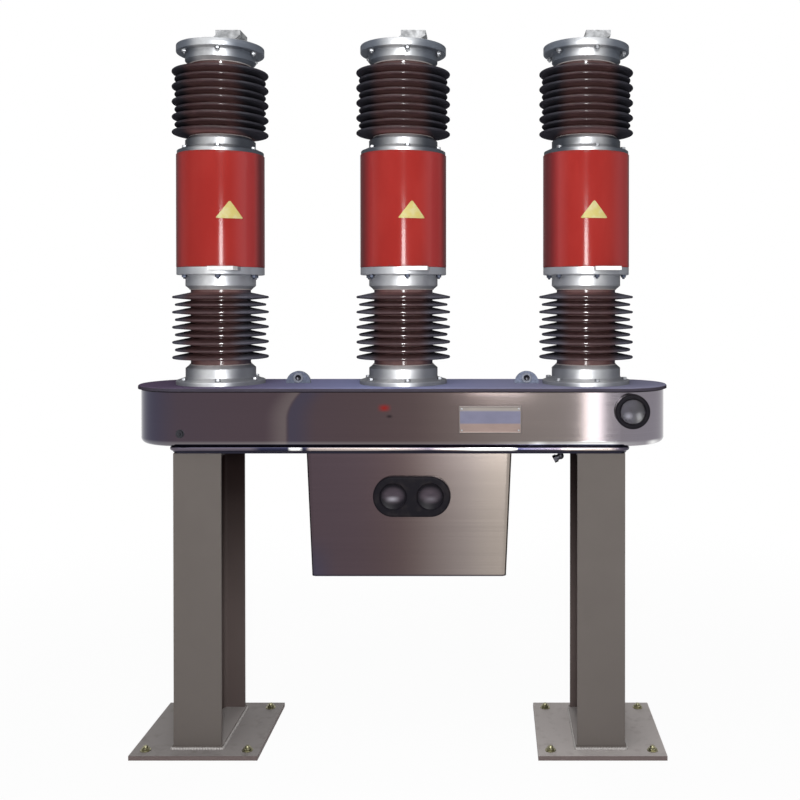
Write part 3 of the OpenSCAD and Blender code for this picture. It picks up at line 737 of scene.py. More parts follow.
def black_rubber(tint):
    """Moulded rubber with a fine grain and a dusty sheen in clouds."""
    finish = Finish("black rubber")
    grain = finish.noise(700, 2)
    dust = finish.noise(40, 4).rise(0.45, 0.75)
    return finish.surface({
        "Base Color": finish.blend(0.08 * dust, tint.rubber, tint.dust),
        "Roughness": 0.38 + 0.12 * grain + 0.1 * dust,
        "Specular IOR Level": 0.05,
        "Normal": finish.bump(grain, 0.2, 0.0004),
    })


def lens_glass(tint):
    """Dark smoked glass of the two lenses: an oval paler patch in each, painted shade as dark as the rubber
    round it, and a soft painted highlight low in it.
    """
    finish = Finish("lens glass")
    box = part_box("window_lenses")
    middle, half = middle_of(box), half_of(box)
    apart = half.x - half.z
    wide, tall, lift = 0.038, 0.029, 0.004
    across = abs(finish.x - middle.x) - apart
    up = finish.z - middle.z - lift
    # painted shade: outside the oval patch the glass is as dark as the rubber
    patch = ((across / wide) ** 2.0 + (up / tall) ** 2.0).rise(1.15, 0.15)
    first = (finish.x - middle.x).rise(0.01, -0.01)
    # painted highlight low in each patch, brighter in the first lens
    spot = (0.2 + 0.5 * first) * across.near(0.002, 0.026) * up.near(-0.012, 0.012)
    smear = finish.noise(30, 3, (1, 1, 3)).rise(0.4, 0.8)
    paler = [1.3 * part for part in tint.lens]
    tone = finish.blend(patch, tint.rubber, finish.blend(smear, tint.lens, paler))
    return finish.surface({
        "Base Color": finish.blend(spot, tone, tint.lens_highlight),
        "Roughness": 0.34 + 0.10 * smear,
        "Specular IOR Level": 0.06,
    })


def dial_face(tint):
    """Grey dial with a ring of plain graduation marks, painted shade over its right part and a painted
    highlight low at the left.
    """
    finish = Finish("dial face")
    middle = middle_of(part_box("gauge_dial"))
    marks, inner, outer, soft = 20, 0.0275, 0.0335, 0.0007
    across, up = finish.x - middle.x, finish.z - middle.z
    bearing = finish.node("ShaderNodeMath", {"operation": "ARCTAN2"}, {0: up, 1: across})
    radius = (across ** 2.0 + up ** 2.0) ** 0.5
    turn = finish.node("ShaderNodeMath", {"operation": "PINGPONG"}, {0: bearing, 1: pi / marks})
    mark = turn.rise(0.030, 0.018) * radius.rise(inner, inner + soft) * radius.rise(outer, outer - soft)
    haze = finish.noise(80, 3)
    # painted shade over the right part
    face = finish.shade(tint.dial, (0.85 + 0.3 * haze) * (1 - 0.62 * across.rise(-0.008, 0.032)))
    # painted highlight low at the left
    glint = across.near(-0.013, 0.019) * up.near(-0.014, 0.016)
    return finish.surface({
        "Base Color": finish.blend(0.6 * mark, finish.blend(0.75 * glint, face, tint.lens_highlight), tint.rubber),
        "Roughness": 0.35 + 0.1 * haze,
        "Specular IOR Level": 0.2,
    })


def gauge_glass(tint):
    """Clear glass over the dial."""
    finish = Finish("gauge glass")
    smear = finish.noise(45, 3)
    return finish.surface({
        "Base Color": finish.blend(smear, (0.86, 0.87, 0.90), (0.95, 0.95, 0.97)),
        "Roughness": 0.20 + 0.06 * smear,
        "Transmission Weight": 1.0,
        "IOR": 1.25,
    })


def yellow_enamel(tint):
    """Yellow enamel, faded in clouds."""
    finish = Finish("yellow enamel")
    fade = finish.noise(60, 4)
    return finish.surface({
        "Base Color": finish.blend(fade.rise(0.35, 0.7), tint.yellow, tint.yellow_faded),
        "Roughness": 0.34 + 0.15 * fade,
        "Specular IOR Level": 0.2,
    })


def cement(tint):
    """Pale cement with a coarse grain."""
    finish = Finish("cement")
    grain = finish.noise(380, 4)
    return finish.surface({
        "Base Color": finish.shade(tint.cement, 0.75 + 0.5 * grain),
        "Roughness": 0.75 + 0.15 * grain,
        "Normal": finish.bump(grain, 0.4, 0.0008),
    })


def plate_print(tint):
    """Bare plate: dull strip along its top, bluish field, warm band along its lower part, thin rim."""
    finish = Finish("plate print")
    middle, half = nameplate_place()
    up = finish.z - middle.z
    across = abs(finish.x - middle.x)
    rim = across.rise(half.x - 0.004, half.x - 0.003).most(abs(up).rise(half.z - 0.004, half.z - 0.003))
    haze = finish.noise(24, 4, (0.5, 1, 1))
    field = finish.blend(up.rise(0.024, 0.030), tint.nameplate, tint.nameplate_head)
    field = finish.blend(up.rise(-0.010, -0.015), field, tint.nameplate_band)
    field = finish.shade(field, 0.75 + 0.5 * haze)
    return finish.surface({
        "Base Color": finish.blend(rim, field, tint.nameplate_rim),
        "Metallic": 0.25 + 0.5 * rim,
        "Roughness": 0.40 + 0.1 * haze,
        "Specular IOR Level": 0.2,
    })


def weld_metal(tint):
    """Painted weld bead, worn bright on its crests."""
    finish = Finish("weld metal")
    grain = finish.noise(240, 3)
    return finish.surface({
        "Base Color": finish.blend(grain.rise(0.1, 0.6), tint.leg, tint.weld),
        "Metallic": 0.2,
        "Roughness": 0.42 + 0.2 * grain,
        "Normal": finish.bump(grain, 0.3, 0.0008),
    })


NODE_FINISHES = {
    "base_flange": cast_alloy, "lower_flange": lower_alloy, "upper_flange": cast_alloy,
    "top_flange": cast_alloy, "line_terminal": terminal_alloy,
    "support_insulator": porcelain, "upper_insulator": porcelain, "interrupter_tank": red_paint,
    "beam_housing": beam_sheet, "beam_bottom_pan": pan_sheet, "beam_lid": lid_sheet,
    "lifting_lugs": lug_steel, "gauge_bezel": black_rubber, "gauge_dial": dial_face,
    "mechanism_box": box_sheet, "window_frame": black_rubber, "window_lenses": lens_glass,
    "gas_valve": dark_brass, "leg": grey_paint, "base_plate": plate_paint,
}
MADE = {}


def finish_of(make):
    """The material that a finish function makes, made once."""
    if make not in MADE:
        MADE[make] = make(bpy.context.scene.breaker_colours)
    return MADE[make]


def full_turn(steps):
    """Angles evenly spaced round a circle."""
    return np.linspace(0, tau, steps, endpoint=False)


def around(radius, turn, height):
    """Points about Z: the radius times the cosine and the sine of the turn, and the height."""
    return np.stack(np.broadcast_arrays(radius * np.cos(turn), radius * np.sin(turn), height), axis=-1)


def oval(wide, tall, steps):
    """Closed section: half its width times the cosine and half its height times the sine of even angles."""
    turn = full_turn(steps)
    return np.stack([wide * np.cos(turn), tall * np.sin(turn)], axis=1)


def turned(profile, steps):
    """Surface of revolution about Z: each row of the profile, a radius and a height, is carried round."""
    radius, height = np.asarray(profile, float).T[:, :, None]
    return around(radius, full_turn(steps), height)


def hexagon(profile, steps=24):
    """Hexagon carried up Z: at each row of flat distance, limit and height, the radius is the flat distance
    over the cosine of the angle from the nearest flat, clipped by the limit, which chamfers the corners."""
    turn = full_turn(steps)
    flat, limit, height = np.asarray(profile, float).T[:, :, None]
    off = (turn + pi / 6) % (pi / 3) - pi / 6
    return around(np.minimum(flat / np.cos(off), limit), turn, height)


def swept(points, normals, section):
    """Closed section carried along a level path that runs round to the left: each path point plus the
    section's first value along the path's outward normal and its second value upwards. The section is taken
    backwards, so that faces point outwards, and its rows may change along the path."""
    out, rise = section[..., 0, None], section[..., 1, None]
    grid = points[:, None, :] + out * normals[:, None, :] + rise * np.array([0.0, 0.0, 1.0])
    return grid[None, :, ::-1]


# turns of a grid that stands on Z = 0: as it is, upside down, and laid with its top to the front
UPRIGHT = np.eye(3)
DOWN = np.diag([1.0, -1.0, -1.0])
FORWARD = np.array([[1.0, 0.0, 0.0], [0.0, 0.0, -1.0], [0.0, 1.0, 0.0]])


def copies(grid, places, turns=UPRIGHT):
    """Copies of a grid, each turned by its 3 by 3 matrix, or by the one for all, and moved to its place."""
    places = np.asarray(places, float)
    turns = np.broadcast_to(turns, (len(places), 3, 3))
    return np.einsum("kij,uvj->kuvi", turns, grid) + places[:, None, None, :]


def spin(angles):
    """Turns about Z by the angles, as 3 by 3 matrices."""
    cosine, sine, zero = np.cos(angles), np.sin(angles), np.zeros_like(angles)
    rows = [[cosine, -sine, zero], [sine, cosine, zero], [zero, zero, zero + 1]]
    return np.moveaxis(np.array(rows), -1, 0)


def quads(index, round_first, round_second):
    """Corner numbers of the quads of a grid of point numbers, closed round either direction where asked."""
    first = np.roll(index, -1, axis=1) if round_first else index[:, 1:]
    start = index if round_first else index[:, :-1]
    corners = [start, start, first, first]
    ahead = [0, 1, 1, 0]
    if round_second:
        corners = [np.roll(part, -step, axis=2) for part, step in zip(corners, ahead)]
    else:
        last = index.shape[2] - 1
        corners = [part[:, :, step:last + step] for part, step in zip(corners, ahead)]
    return np.stack(corners, axis=-1).reshape(-1, 4)


def add_piece(name, grids, make, round_first=False, round_second=True, sharp=32.0):
    """Mesh piece from grids of points, each copies by rows by columns: neighbours share a quad, closed
    directions join up, and the first and last rows of an open tube are capped."""
    points, faces, count = [], [], 0
    for grid in grids:
        index = np.arange(grid[..., 0].size).reshape(grid.shape[:3]) + count
        faces += quads(index, round_first, round_second).tolist()
        if round_second and not round_first:
            faces += index[:, 0, ::-1].tolist() + index[:, -1].tolist()
        points.append(grid.reshape(-1, 3))
        count += index.size
    mesh = bpy.data.meshes.new(name)
    mesh.from_pydata(np.concatenate(points).tolist(), [], faces)
    mesh.shade_smooth()
    mesh.set_sharp_from_angle(angle=radians(sharp))
    mesh.materials.append(finish_of(make))
    piece = bpy.data.objects.new(name, mesh)
    bpy.context.scene.collection.objects.link(piece)
    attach(piece, "root")
    return piece


def thicken(piece, thickness):
    """Gives a sheet its thickness, inwards from its front."""
    wall = piece.modifiers.new("thickness", "SOLIDIFY")
    wall.thickness = thickness
    wall.offset = -1.0


def bolt_head(flat, height):
    """Washer and chamfered hexagon head standing on Z = 0, as two grids."""
    half, rim = flat / 2, flat * 0.62
    thick, bevel = 0.0019, 0.0005
    washer = turned([(rim, 0.0), (rim, thick - bevel), (rim - bevel, thick), (half * 0.4, thick)], 24)
    corner = half / np.cos(pi / 6)
    head = hexagon([
        (half, corner, 0.0016), (half, corner, height * 0.80), (half, half * 1.06, height * 0.95),
        (half, half * 0.93, height), (half * 0.5, half * 0.5, height),
    ])
    return [washer, head]


def bolt_nut(flat, height, stud, reach, washer):
    """Washer of the radius given, hexagon nut chamfered at its top and a threaded stud with a rounded end,
    standing on Z = 0, as three grids."""
    half, hole = flat / 2, stud * 0.4
    corner = half / np.cos(pi / 6)
    ring = turned([(washer, 0.0), (washer, 0.0020), (washer - 0.0008, 0.0026), (hole, 0.0026)], 28)
    nut = hexagon([
        (half, corner, 0.0022), (half, corner, height * 0.86), (half, half * 1.03, height),
        (hole, hole, height),
    ])
    crests, depth, start = 8, 0.045, height * 0.7
    thread = np.arange(0.0, 1.0, 0.5 / crests)
    shank = stud / 2 * (1 - depth * (np.arange(len(thread)) % 2))
    rows = np.stack([shank, start + thread * (reach - start - 0.002)], axis=1)
    tip = [(stud * 0.46, reach - 0.0018), (stud * 0.36, reach)]
    return [ring, nut, turned(np.concatenate([rows, tip]), 20)]


def ring_places(centre, radius, count, offset):
    """Places and turning angles of pieces evenly spaced round a circle about an upright axis."""
    angles = offset + full_turn(count)
    return np.asarray(centre, float) + around(radius, angles, 0.0), angles


def nameplate_place():
    """Middle and half size of the bare plate on the front of the beam."""
    sizes = bpy.context.scene.breaker_sizes
    low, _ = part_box("beam_housing")
    middle = Vector((sizes.nameplate_across, low.y, low.z + sizes.nameplate_level))
    return middle, Vector((sizes.nameplate_length / 2, 0.0, sizes.nameplate_height / 2))


class PieceOperator:
    """What the operators share: undo, and the sizes of the scene."""

    bl_options = {"REGISTER", "UNDO"}

    def execute(self, context):
        self.make(context.scene.breaker_sizes)
        return {"FINISHED"}


class BREAKER_OT_node_finishes(PieceOperator, Operator):
    """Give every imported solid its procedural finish"""

    bl_idname = "breaker.node_finishes"
    bl_label = "Finish the Solids"

    def make(self, sizes):
        for name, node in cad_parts.items():
            side, _, kind = name.partition("_")
            make = NODE_FINISHES[kind if side in SIDES else name]
            if not node.material_slots:
                node.data.materials.append(None)
            for holder in node.material_slots:
                holder.material = finish_of(make)


class BREAKER_OT_flange_bolts(PieceOperator, Operator):
    """Fit the bolts and nuts of the four flanges of each pole"""

    bl_idname = "breaker.flange_bolts"
    bl_label = "Flange Bolts"

    def make(self, sizes):
        head = bolt_head(sizes.bolt_flat, sizes.bolt_head)
        low_head = bolt_head(sizes.bolt_flat, sizes.pocket_head)
        reach, washer = 1.6 * sizes.bolt_head, 0.62 * sizes.bolt_flat
        nut = bolt_nut(sizes.bolt_flat, sizes.bolt_head, sizes.stud, reach, washer)
        first = sizes.bolt_turn - pi / 2
        for side in SIDES:
            base, lower, upper, top = [flange(side, kind) for kind in FLANGES]
            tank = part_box(f"{side}_interrupter_tank")
            axis = middle_of(base)
            rings = {
                "base_bolts": (head, base, base[0].z + sizes.base_seat, sizes.bolt_inset, False),
                "lower_nuts": (nut, lower, tank[0].z - sizes.lower_rim, sizes.bolt_inset, True),
                "upper_bolts": (head, upper, upper[0].z + sizes.upper_seat, sizes.bolt_inset, False),
                "top_nuts": (nut, top, top[1].z - sizes.top_rim, sizes.pocket_inset, True),
                "top_bolts": (low_head, top, top[1].z + sizes.pocket_floor, sizes.pocket_inset, False),
            }
            for name, (grids, rim, height, inset, under) in rings.items():
                radius = half_of(rim).x - inset
                places, angles = ring_places((axis.x, axis.y, height), radius, sizes.bolt_count, first)
                turns = spin(angles) @ DOWN if under else spin(angles)
                pieces = [copies(grid, places, turns) for grid in grids]
                make = lug_steel if name == "lower_nuts" else plated_steel
                add_piece(f"{side}_{name}", pieces, make)


class BREAKER_OT_cement_beads(PieceOperator, Operator):
    """Lay the pale beads where the porcelains leave their collars"""

    bl_idname = "breaker.cement_beads"
    bl_label = "Cement Beads"

    def make(self, sizes):
        """Oval section turned about the pole's axis, at the open end of each collar."""
        section = [sizes.cement_radius, 0.0] + oval(wide=0.0022, tall=sizes.cement / 2, steps=12)
        ring = turned(section, 72)
        for side in SIDES:
            base, lower, upper, top = [flange(side, kind) for kind in FLANGES]
            axis = middle_of(base)
            heights = (base[1].z, lower[0].z, upper[1].z, top[0].z)
            places = [(axis.x, axis.y, height) for height in heights]
            add_piece(f"{side}_cement_beads", [copies(ring, places)], cement, round_first=True)


class BREAKER_OT_lid_gasket(PieceOperator, Operator):
    """Lay the dark strip between the beam's wall and its lid"""

    bl_idname = "breaker.lid_gasket"
    bl_label = "Lid Gasket"

    def make(self, sizes):
        """Oval section carried round the beam: a circle as wide as the beam, its halves moved apart."""
        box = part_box("beam_housing")
        half = half_of(box)
        steps = 128
        turn = (np.arange(steps) + 0.5) * tau / steps
        normals = around(1.0, turn, 0.0)
        path = half.y * normals
        path[:, 0] += (half.x - half.y) * np.sign(np.cos(turn))
        path[:, 2] = box[1].z - sizes.gasket / 2
        section = oval(wide=0.0014, tall=sizes.gasket / 2, steps=10)
        grid = swept(path, normals, section)
        add_piece("lid_gasket", [grid], black_rubber, round_first=True)


class BREAKER_OT_lug_bushes(PieceOperator, Operator):
    """Press a bush with a dark plug into the eye of each lifting lug"""

    bl_idname = "breaker.lug_bushes"
    bl_label = "Lug Bushes"

    def make(self, sizes):
        """Turned shapes laid along the lug's thickness: a bush with a collar on both faces, a dished plug."""
        low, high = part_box("lifting_lugs")
        reach = (high.y - low.y) / 2
        play, proud, bevel, chamfer, depth = 0.0001, 0.0020, 0.0008, 0.0010, 0.0040
        eye, collar, bore = sizes.lug_eye / 2 - play, 0.70 * sizes.lug_eye, 0.38 * sizes.lug_eye
        face = [
            (eye, reach), (collar, reach), (collar, reach + proud - bevel), (collar - bevel, reach + proud),
            (bore + chamfer, reach + proud), (bore, reach + proud - chamfer),
        ]
        back = [(radius, -height) for radius, height in reversed(face)]
        bush = turned([*back, *face], 40)
        arc = np.linspace(0.0, 1.0, 9)
        dish = np.stack([(bore - play) * (1 - 0.96 * arc), reach - depth * np.sqrt(arc)], axis=1)
        plug = turned(np.concatenate([dish[::-1] * [1, -1], dish]), 32)
        half = high.z - low.z
        places = [(x, (low.y + high.y) / 2, low.z + sizes.lug_level) for x in (low.x + half, high.x - half)]
        add_piece("lug_bushes", [copies(bush, places, FORWARD)], bush_steel, round_first=True)
        add_piece("lug_plugs", [copies(plug, places, FORWARD)], dark_brass)


class BREAKER_OT_tank_triangles(PieceOperator, Operator):
    """Fix a bare yellow triangular plate to each tank"""

    bl_idname = "breaker.tank_triangles"
    bl_label = "Triangular Plates"

    def make(self, sizes):
        """Grid across and up the plate: the width falls evenly to the top with rounded corners, and the plate
        is wrapped round the tank by turning distance across into an angle."""
        eye = bpy.context.scene.breaker_studio.eye
        up = np.linspace(0.0, 1.0, 33)[:, None]
        across = np.linspace(-0.5, 0.5, 25)[None, :]
        soft, point, proud, thickness = 0.055, 0.05, 0.0012, 0.0016
        trim = soft * (1 - np.sqrt(np.clip(1 - np.clip(1 - up / soft, 0, 1) ** 2, 0, 1)))
        tip = point * np.sqrt(np.clip(1 - (1 - np.clip((1 - up) / point, 0, 1)) ** 2, 0, 1))
        width = np.minimum(1 - up + point - 2 * trim, np.where(up > 1 - point, tip * 2, 2.0))
        distance = across * np.clip(width, 0.004, 1.0) * sizes.triangle_base
        for side in SIDES:
            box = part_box(f"{side}_interrupter_tank")
            axis, radius = middle_of(box), half_of(box).x
            facing = atan2(eye[1] - axis.y, eye[0] - axis.x)
            turn = facing + sizes.triangle_turn + distance / radius
            height = box[0].z + sizes.triangle_level + up * sizes.triangle_height
            grid = around(radius + proud, turn, height) + np.array([axis.x, axis.y, 0.0])
            piece = add_piece(f"{side}_triangle", [grid[None]], yellow_enamel, round_second=False)
            thicken(piece, thickness)


class BREAKER_OT_nameplate(PieceOperator, Operator):
    """Rivet the bare two-tone plate to the front of the beam"""

    bl_idname = "breaker.nameplate"
    bl_label = "Bare Plate"

    def make(self, sizes):
        """Grid along and up the plate: the front stands out by a low rim near the edges and rounds off at
        them; a rivet, turned from a quarter circle, sits in each corner."""
        middle, half = nameplate_place()
        rim_place, rim_half, rim_rise = 0.0025, 0.0022, 0.0007
        front, rounding, gap, thickness = 0.0016, 0.0008, 0.0003, 0.0008
        rivet_radius, rivet_rise, rivet_seat, rivet_inset = 0.0032, 0.0018, 0.0018, 0.009
        ease = np.sin(np.linspace(-pi / 2, pi / 2, 49))
        along, up = np.meshgrid(half.x * ease, half.z * ease, indexing="xy")
        edge = np.minimum(half.x - np.abs(along), half.z - np.abs(up))
        rim = rim_rise * np.clip(1 - np.abs(edge - rim_place) / rim_half, 0, 1)
        proud = front * np.clip(edge / rounding, 0, 1) ** 0.5 + rim
        grid = np.stack([middle.x + along, middle.y - gap - proud, middle.z + up], axis=-1)
        thicken(add_piece("nameplate", [grid[None]], plate_print, round_second=False), thickness)
        arc = np.linspace(0, pi / 2 * 0.96, 7)
        rivet = turned(np.stack([rivet_radius * np.cos(arc), rivet_rise * np.sin(arc)], axis=1), 18)
        corner = np.array([(-1, -1), (1, -1), (1, 1), (-1, 1)], float)
        inset = np.array([half.x - rivet_inset, half.z - rivet_inset])
        places = np.insert(corner * inset, 1, -rivet_seat, axis=1) + np.array(middle)
        add_piece("nameplate_rivets", [copies(rivet, places, FORWARD)], plated_steel)


class BREAKER_OT_earth_bolt(PieceOperator, Operator):
    """Fit the earthing bolt low on the left of the beam"""

    bl_idname = "breaker.earth_bolt"
    bl_label = "Earthing Bolt"

    def make(self, sizes):
        low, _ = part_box("beam_housing")
        place = [(low.x + sizes.earth_across, low.y, low.z + sizes.earth_level)]
        nut = bolt_nut(flat=0.020, height=0.008, stud=0.010, reach=0.013, washer=0.0135)
        add_piece("earth_bolt", [copies(grid, place, FORWARD) for grid in nut], dark_brass)


class BREAKER_OT_glasses(PieceOperator, Operator):
    """Set the hollow window lenses, the gauge glass and the gauge pointer"""

    bl_idname = "breaker.glasses"
    bl_label = "Glasses and Pointer"

    def make(self, sizes):
        lens_play, gauge_play, over = 0.0005, 0.0003, 0.005
        low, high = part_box("window_lenses")
        radius = (high.z - low.z) / 2
        height = (low.z + high.z) / 2
        dish = turned(self.dish(radius - lens_play, sizes.lens_dish, least=0.0006), 64)
        places = [(low.x + radius, low.y, height), (high.x - radius, low.y, height)]
        add_piece("window_lens_dishes", [copies(dish, places, FORWARD)], lens_glass)
        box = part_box("gauge_dial")
        middle, radius, face = middle_of(box), half_of(box).x, box[0].y
        glass = turned(self.dish(radius - gauge_play, sizes.gauge_dish, least=0.0020), 64)
        place = [(middle.x, face - over, middle.z)]
        add_piece("gauge_glass", [copies(glass, place, FORWARD)], gauge_glass)
        self.pointer(middle, face, radius)

    @staticmethod
    def dish(radius, depth, least):
        """Closed profile of a plano-concave glass: flat back, upright edge, then a parabola to the axis,
        where the glass has its least thickness."""
        out = radius * np.linspace(1.0, 0.01, 20)
        hollow = np.stack([out, least + depth * (out / radius) ** 2], axis=1)
        return np.concatenate([[(radius * 0.01, 0.0), (radius, 0.0)], hollow])

    @staticmethod
    def pointer(middle, face, radius):
        """Tapered needle and a round boss: the needle's half width falls evenly from the boss to its tip."""
        tail, tip, lean = -0.25 * radius, 0.78 * radius, radians(135)
        thickness, over = 0.0005, 0.0018
        ahead = np.linspace(tail, tip, 9)[:, None]
        corner = np.array([(-1, -0.5), (1, -0.5), (1, 0.5), (-1, 0.5)])
        beside = np.interp(ahead, [tail, 0.0, tip], [0.0010, 0.0012, 0.0004]) * corner[:, 0]
        grid = np.stack(np.broadcast_arrays(
            middle.x + ahead * np.cos(lean) - beside * np.sin(lean), face - over - thickness * corner[:, 1],
            middle.z + ahead * np.sin(lean) + beside * np.cos(lean),
        ), axis=-1)
        boss = turned([(0.0028, 0.0), (0.0028, 0.0026), (0.0023, 0.0032), (0.0005, 0.0032)], 24)
        boss = copies(boss, [(middle.x, face, middle.z)], FORWARD)
        add_piece("gauge_pointer", [grid[None], boss], black_rubber)


class BREAKER_OT_anchors(PieceOperator, Operator):
    """Fit studs, nuts and washers in the base plates"""

    bl_idname = "breaker.anchors"
    bl_label = "Anchor Studs"

    def make(self, sizes):
        flat, height, stud = sizes.anchor_flat, sizes.anchor_nut, sizes.anchor_stud
        nut = bolt_nut(flat, height, stud, sizes.anchor_reach, washer=0.017)
        turns = spin(np.array([0.2, 0.9, 0.5, 1.3]))
        for side in LEGS:
            low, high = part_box(f"{side}_base_plate")
            inset = sizes.anchor_inset
            across = (low.x + inset, high.x - inset)
            along = (low.y + inset, high.y - inset)
            spots = [(x, y, high.z) for x in across for y in along]
            foot, into_nut = low.z - high.z + 0.001, 0.004
            shank = turned([(stud / 2, foot), (stud / 2, into_nut)], 20)
            grids = [copies(grid, spots, turns) for grid in [*nut, shank]]
            add_piece(f"{side}_anchors", grids, yellow_zinc)


class BREAKER_OT_foot_welds(PieceOperator, Operator):
    """Lay the weld bead round the foot of each leg"""

    bl_idname = "breaker.foot_welds"
    bl_label = "Foot Welds"

    def make(self, sizes):
        """Round section carried along a rounded rectangle: its radius swells in even ripples on the way."""
        bend, steps, lift, ripple_length = 0.003, 900, 0.001, 0.009
        for side in LEGS:
            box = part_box(f"{side}_leg")
            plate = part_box(f"{side}_base_plate")[1].z
            middle, half = middle_of(box), np.array(half_of(box).xy)
            path, normals = self.rounded(half, bend, steps)
            points = np.insert(path + [middle.x, middle.y], 2, plate + lift, axis=1)
            normals = np.insert(normals, 2, 0.0, axis=1)
            ripples = round(4 * np.sum(half) / ripple_length)
            ripple = 1 + 0.10 * np.sin(full_turn(steps) * ripples)
            section = sizes.weld * ripple[:, None, None] * oval(wide=1.0, tall=1.0, steps=10)
            grid = swept(points, normals, section)
            add_piece(f"{side}_foot_weld", [grid], weld_metal, round_first=True, sharp=60)

    @staticmethod
    def rounded(half, bend, steps):
        """Points and outward normals along a rounded rectangle, evenly spaced: the distance along picks one
        of eight runs, four straight and four quarter circles, and the share of that run gives the point."""
        flat = half - bend
        arc = bend * pi / 2
        runs = np.array([2 * flat[1], arc, 2 * flat[0], arc] * 2)
        ends = np.cumsum(runs)
        distance = np.arange(steps) / steps * ends[-1]
        which = np.searchsorted(ends, distance, side="right")
        share = (distance - (ends - runs)[which]) / runs[which]
        turn = (which // 2) * (pi / 2) + np.where(which % 2 == 1, share * pi / 2, 0.0)
        normals = np.stack([np.cos(turn), np.sin(turn)], axis=1)
        first = np.array([[1, -1], [1, 1], [-1, 1], [-1, -1]], float)
        second = np.roll(first, -1, axis=0)
        leg = which // 2
        straight = first[leg] + (second - first)[leg] * share[:, None]
        corner = np.where((which % 2 == 0)[:, None], straight, second[leg]) * flat
        return corner + bend * normals, normals


class BREAKER_OT_leg_bolts(PieceOperator, Operator):
    """Fit the bolts that hold the beam on the legs' cap plates"""

    bl_idname = "breaker.leg_bolts"
    bl_label = "Leg Bolts"

    def make(self, sizes):
        nut = bolt_nut(flat=0.024, height=0.013, stud=0.016, reach=0.026, washer=0.016)
        turns = spin(np.array([0.1, 0.7, 1.2, 0.4])) @ DOWN
        across, along = sizes.leg_bolt_across, sizes.leg_bolt_along
        for side in LEGS:
            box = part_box(f"{side}_leg")
            middle, level = middle_of(box), box[1].z - sizes.leg_cap
            spots = [(middle.x + x, y, level) for x in (-across, across) for y in (-along, along)]
            grids = [copies(grid, spots, turns) for grid in nut]
            add_piece(f"{side}_leg_bolts", grids, plated_steel)


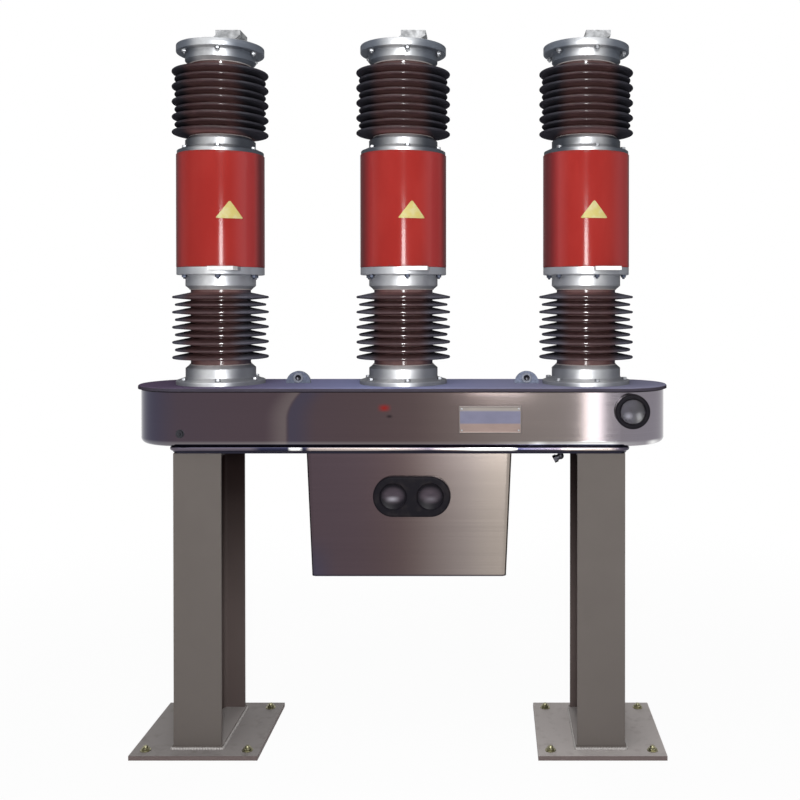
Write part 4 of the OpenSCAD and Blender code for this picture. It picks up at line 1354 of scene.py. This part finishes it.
class BREAKER_OT_studio(Operator):
    """Set the floor, the white surroundings, the lamps and the camera"""

    bl_idname = "breaker.studio"
    bl_label = "Studio"
    bl_options = {"REGISTER", "UNDO"}

    def execute(self, context):
        studio = context.scene.breaker_studio
        self.floor(studio)
        self.world(context.scene, studio)
        self.lamp("key lamp", (0.34, -3.35, 1.66), (0.0, 0.0, 1.50), (0.50, 0.56), studio.key)
        self.lamp("high lamp", (0.32, -3.30, 3.00), (0.0, 0.0, 2.20), (0.40, 0.80), studio.high)
        self.lamp("low lamp", (0.32, -3.30, 1.12), (0.0, 0.0, 1.12), (0.34, 0.48), studio.low)
        self.lamp("top lamp", (-0.4, -1.6, 4.4), (0.0, 0.0, 1.0), (3.0, 3.0), studio.top)
        self.lamp("strip lamp", (0.93, -3.3, 1.05), (0.62, 0.0, 1.05), (0.12, 1.3), studio.strip)
        high, low = studio.high_glint, studio.low_glint
        self.lamp("high glint", (0.32, -3.30, 3.08), (0.0, 0.0, 2.30), (0.40, 0.36), high, diffuse=False)
        self.lamp("low glint", (0.32, -3.30, 1.24), (0.0, 0.0, 1.24), (0.24, 0.40), low, diffuse=False)
        self.lamp("back lamp", (-0.3, 3.40, 1.40), (0.0, 0.0, 1.40), (1.60, 1.60), studio.back, gloss=False)
        data = bpy.data.cameras.new("camera")
        data.sensor_width = 36.0
        data.lens = studio.lens
        data.shift_x, data.shift_y = studio.shift
        camera = bpy.data.objects.new("camera", data)
        camera.location = studio.eye
        camera.rotation_euler = (pi / 2 - studio.tilt, 0.0, 0.0)
        context.scene.collection.objects.link(camera)
        context.scene.camera = camera
        context.scene.view_settings.view_transform = "Standard"
        return {"FINISHED"}

    @staticmethod
    def seen(sheet):
        """1 on rays from the camera, from gloss and through glass, else 0."""
        camera, gloss, through = sheet.node(
            "ShaderNodeLightPath", out=("Is Camera Ray", "Is Glossy Ray", "Is Transmission Ray")
        )
        return camera.most(gloss).most(through)

    def floor(self, studio):
        """Square grid that lies at the foot of the object; part of it glows white where it is seen, all of it
        far from the object, and the rest takes the shadow."""
        reach, gap = 30.0, 0.0005
        finish = Finish("studio floor")
        tone = finish.blend(finish.noise(3, 3), (0.84, 0.84, 0.84), (0.88, 0.88, 0.88))
        matt = finish.node("ShaderNodeBsdfDiffuse", None, {"Color": tone})
        glow = finish.node("ShaderNodeEmission", None, {"Color": (1, 1, 1, 1), "Strength": 1.0})
        away = ((finish.x ** 2.0 + finish.y ** 2.0) ** 0.5).rise(1.2, 3.4)
        share = self.seen(finish) * (studio.floor_glow + (1.0 - studio.floor_glow) * away)
        finish.ends(finish.node("ShaderNodeMixShader", None, {0: share, 1: matt, 2: glow}))
        across = np.linspace(-reach, reach, 13)
        x, y = np.meshgrid(across, across, indexing="xy")
        points = np.stack([x, y, np.full_like(x, CAD_BOX[0].z - gap)], axis=-1)
        mesh = bpy.data.meshes.new("floor")
        index = np.arange(x.size).reshape(1, *x.shape)
        mesh.from_pydata(points.reshape(-1, 3).tolist(), [], quads(index, False, False).tolist())
        mesh.materials.append(finish.material)
        floor = bpy.data.objects.new("floor", mesh)
        bpy.context.scene.collection.objects.link(floor)
        floor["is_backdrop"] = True

    def world(self, scene, studio):
        """White where it is seen, softer where it only lights the object."""
        world = bpy.data.worlds.new("studio")
        world.use_nodes = True
        scene.world = world
        sheet = NodeSheet(world.node_tree)
        strength = studio.fill + (1.0 - studio.fill) * self.seen(sheet)
        back = sheet.node("ShaderNodeBackground", None, {"Color": (1, 1, 1, 1), "Strength": strength})
        sheet.node("ShaderNodeOutputWorld", None, {"Surface": back})

    @staticmethod
    def lamp(name, place, target, size, watts, diffuse=True, gloss=True):
        """Rectangular lamp turned from its place to a target; it lights matt surfaces, shows in gloss, or
        does both."""
        data = bpy.data.lights.new(name, "AREA")
        data.shape = "RECTANGLE"
        data.size, data.size_y = size
        data.energy = watts
        lamp = bpy.data.objects.new(name, data)
        lamp.location = place
        lamp.rotation_euler = (Vector(target) - Vector(place)).to_track_quat("-Z", "Y").to_euler()
        lamp.visible_diffuse, lamp.visible_glossy = diffuse, gloss
        bpy.context.scene.collection.objects.link(lamp)


OPERATORS = (
    BREAKER_OT_node_finishes, BREAKER_OT_flange_bolts, BREAKER_OT_cement_beads, BREAKER_OT_lid_gasket,
    BREAKER_OT_lug_bushes, BREAKER_OT_tank_triangles, BREAKER_OT_nameplate, BREAKER_OT_earth_bolt,
    BREAKER_OT_glasses, BREAKER_OT_anchors, BREAKER_OT_foot_welds, BREAKER_OT_leg_bolts,
    BREAKER_OT_studio,
)


class BREAKER_PT_panel(Panel):
    """Lists the steps, the sizes and the colours"""

    bl_label = "Gas Insulated Breaker"
    bl_idname = "BREAKER_PT_panel"
    bl_space_type = "VIEW_3D"
    bl_region_type = "UI"
    bl_category = "Breaker"

    def draw(self, context):
        column = self.layout.column(align=True)
        for step in OPERATORS:
            column.operator(step.bl_idname)
        scene = context.scene
        for group in (scene.breaker_sizes, scene.breaker_colours, scene.breaker_studio):
            column = self.layout.column()
            for name in group.__annotations__:
                column.prop(group, name)


CLASSES = (BreakerSizes, BreakerColours, BreakerStudio, *OPERATORS, BREAKER_PT_panel)


def register():
    for made in CLASSES:
        bpy.utils.register_class(made)
    bpy.types.Scene.breaker_sizes = PointerProperty(type=BreakerSizes)
    bpy.types.Scene.breaker_colours = PointerProperty(type=BreakerColours)
    bpy.types.Scene.breaker_studio = PointerProperty(type=BreakerStudio)


def unregister():
    del bpy.types.Scene.breaker_studio
    del bpy.types.Scene.breaker_colours
    del bpy.types.Scene.breaker_sizes
    for made in reversed(CLASSES):
        bpy.utils.unregister_class(made)


def main():
    register()
    bpy.ops.breaker.node_finishes()
    bpy.ops.breaker.flange_bolts()
    bpy.ops.breaker.cement_beads()
    bpy.ops.breaker.lid_gasket()
    bpy.ops.breaker.lug_bushes()
    bpy.ops.breaker.tank_triangles()
    bpy.ops.breaker.nameplate()
    bpy.ops.breaker.earth_bolt()
    bpy.ops.breaker.glasses()
    bpy.ops.breaker.anchors()
    bpy.ops.breaker.foot_welds()
    bpy.ops.breaker.leg_bolts()
    bpy.ops.breaker.studio()
    boxes = {"cad": CAD_BOX, "visual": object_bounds()}
    {name: [list(corner) for corner in box] for name, box in boxes.items()}


if __name__ == "__main__":
    main()
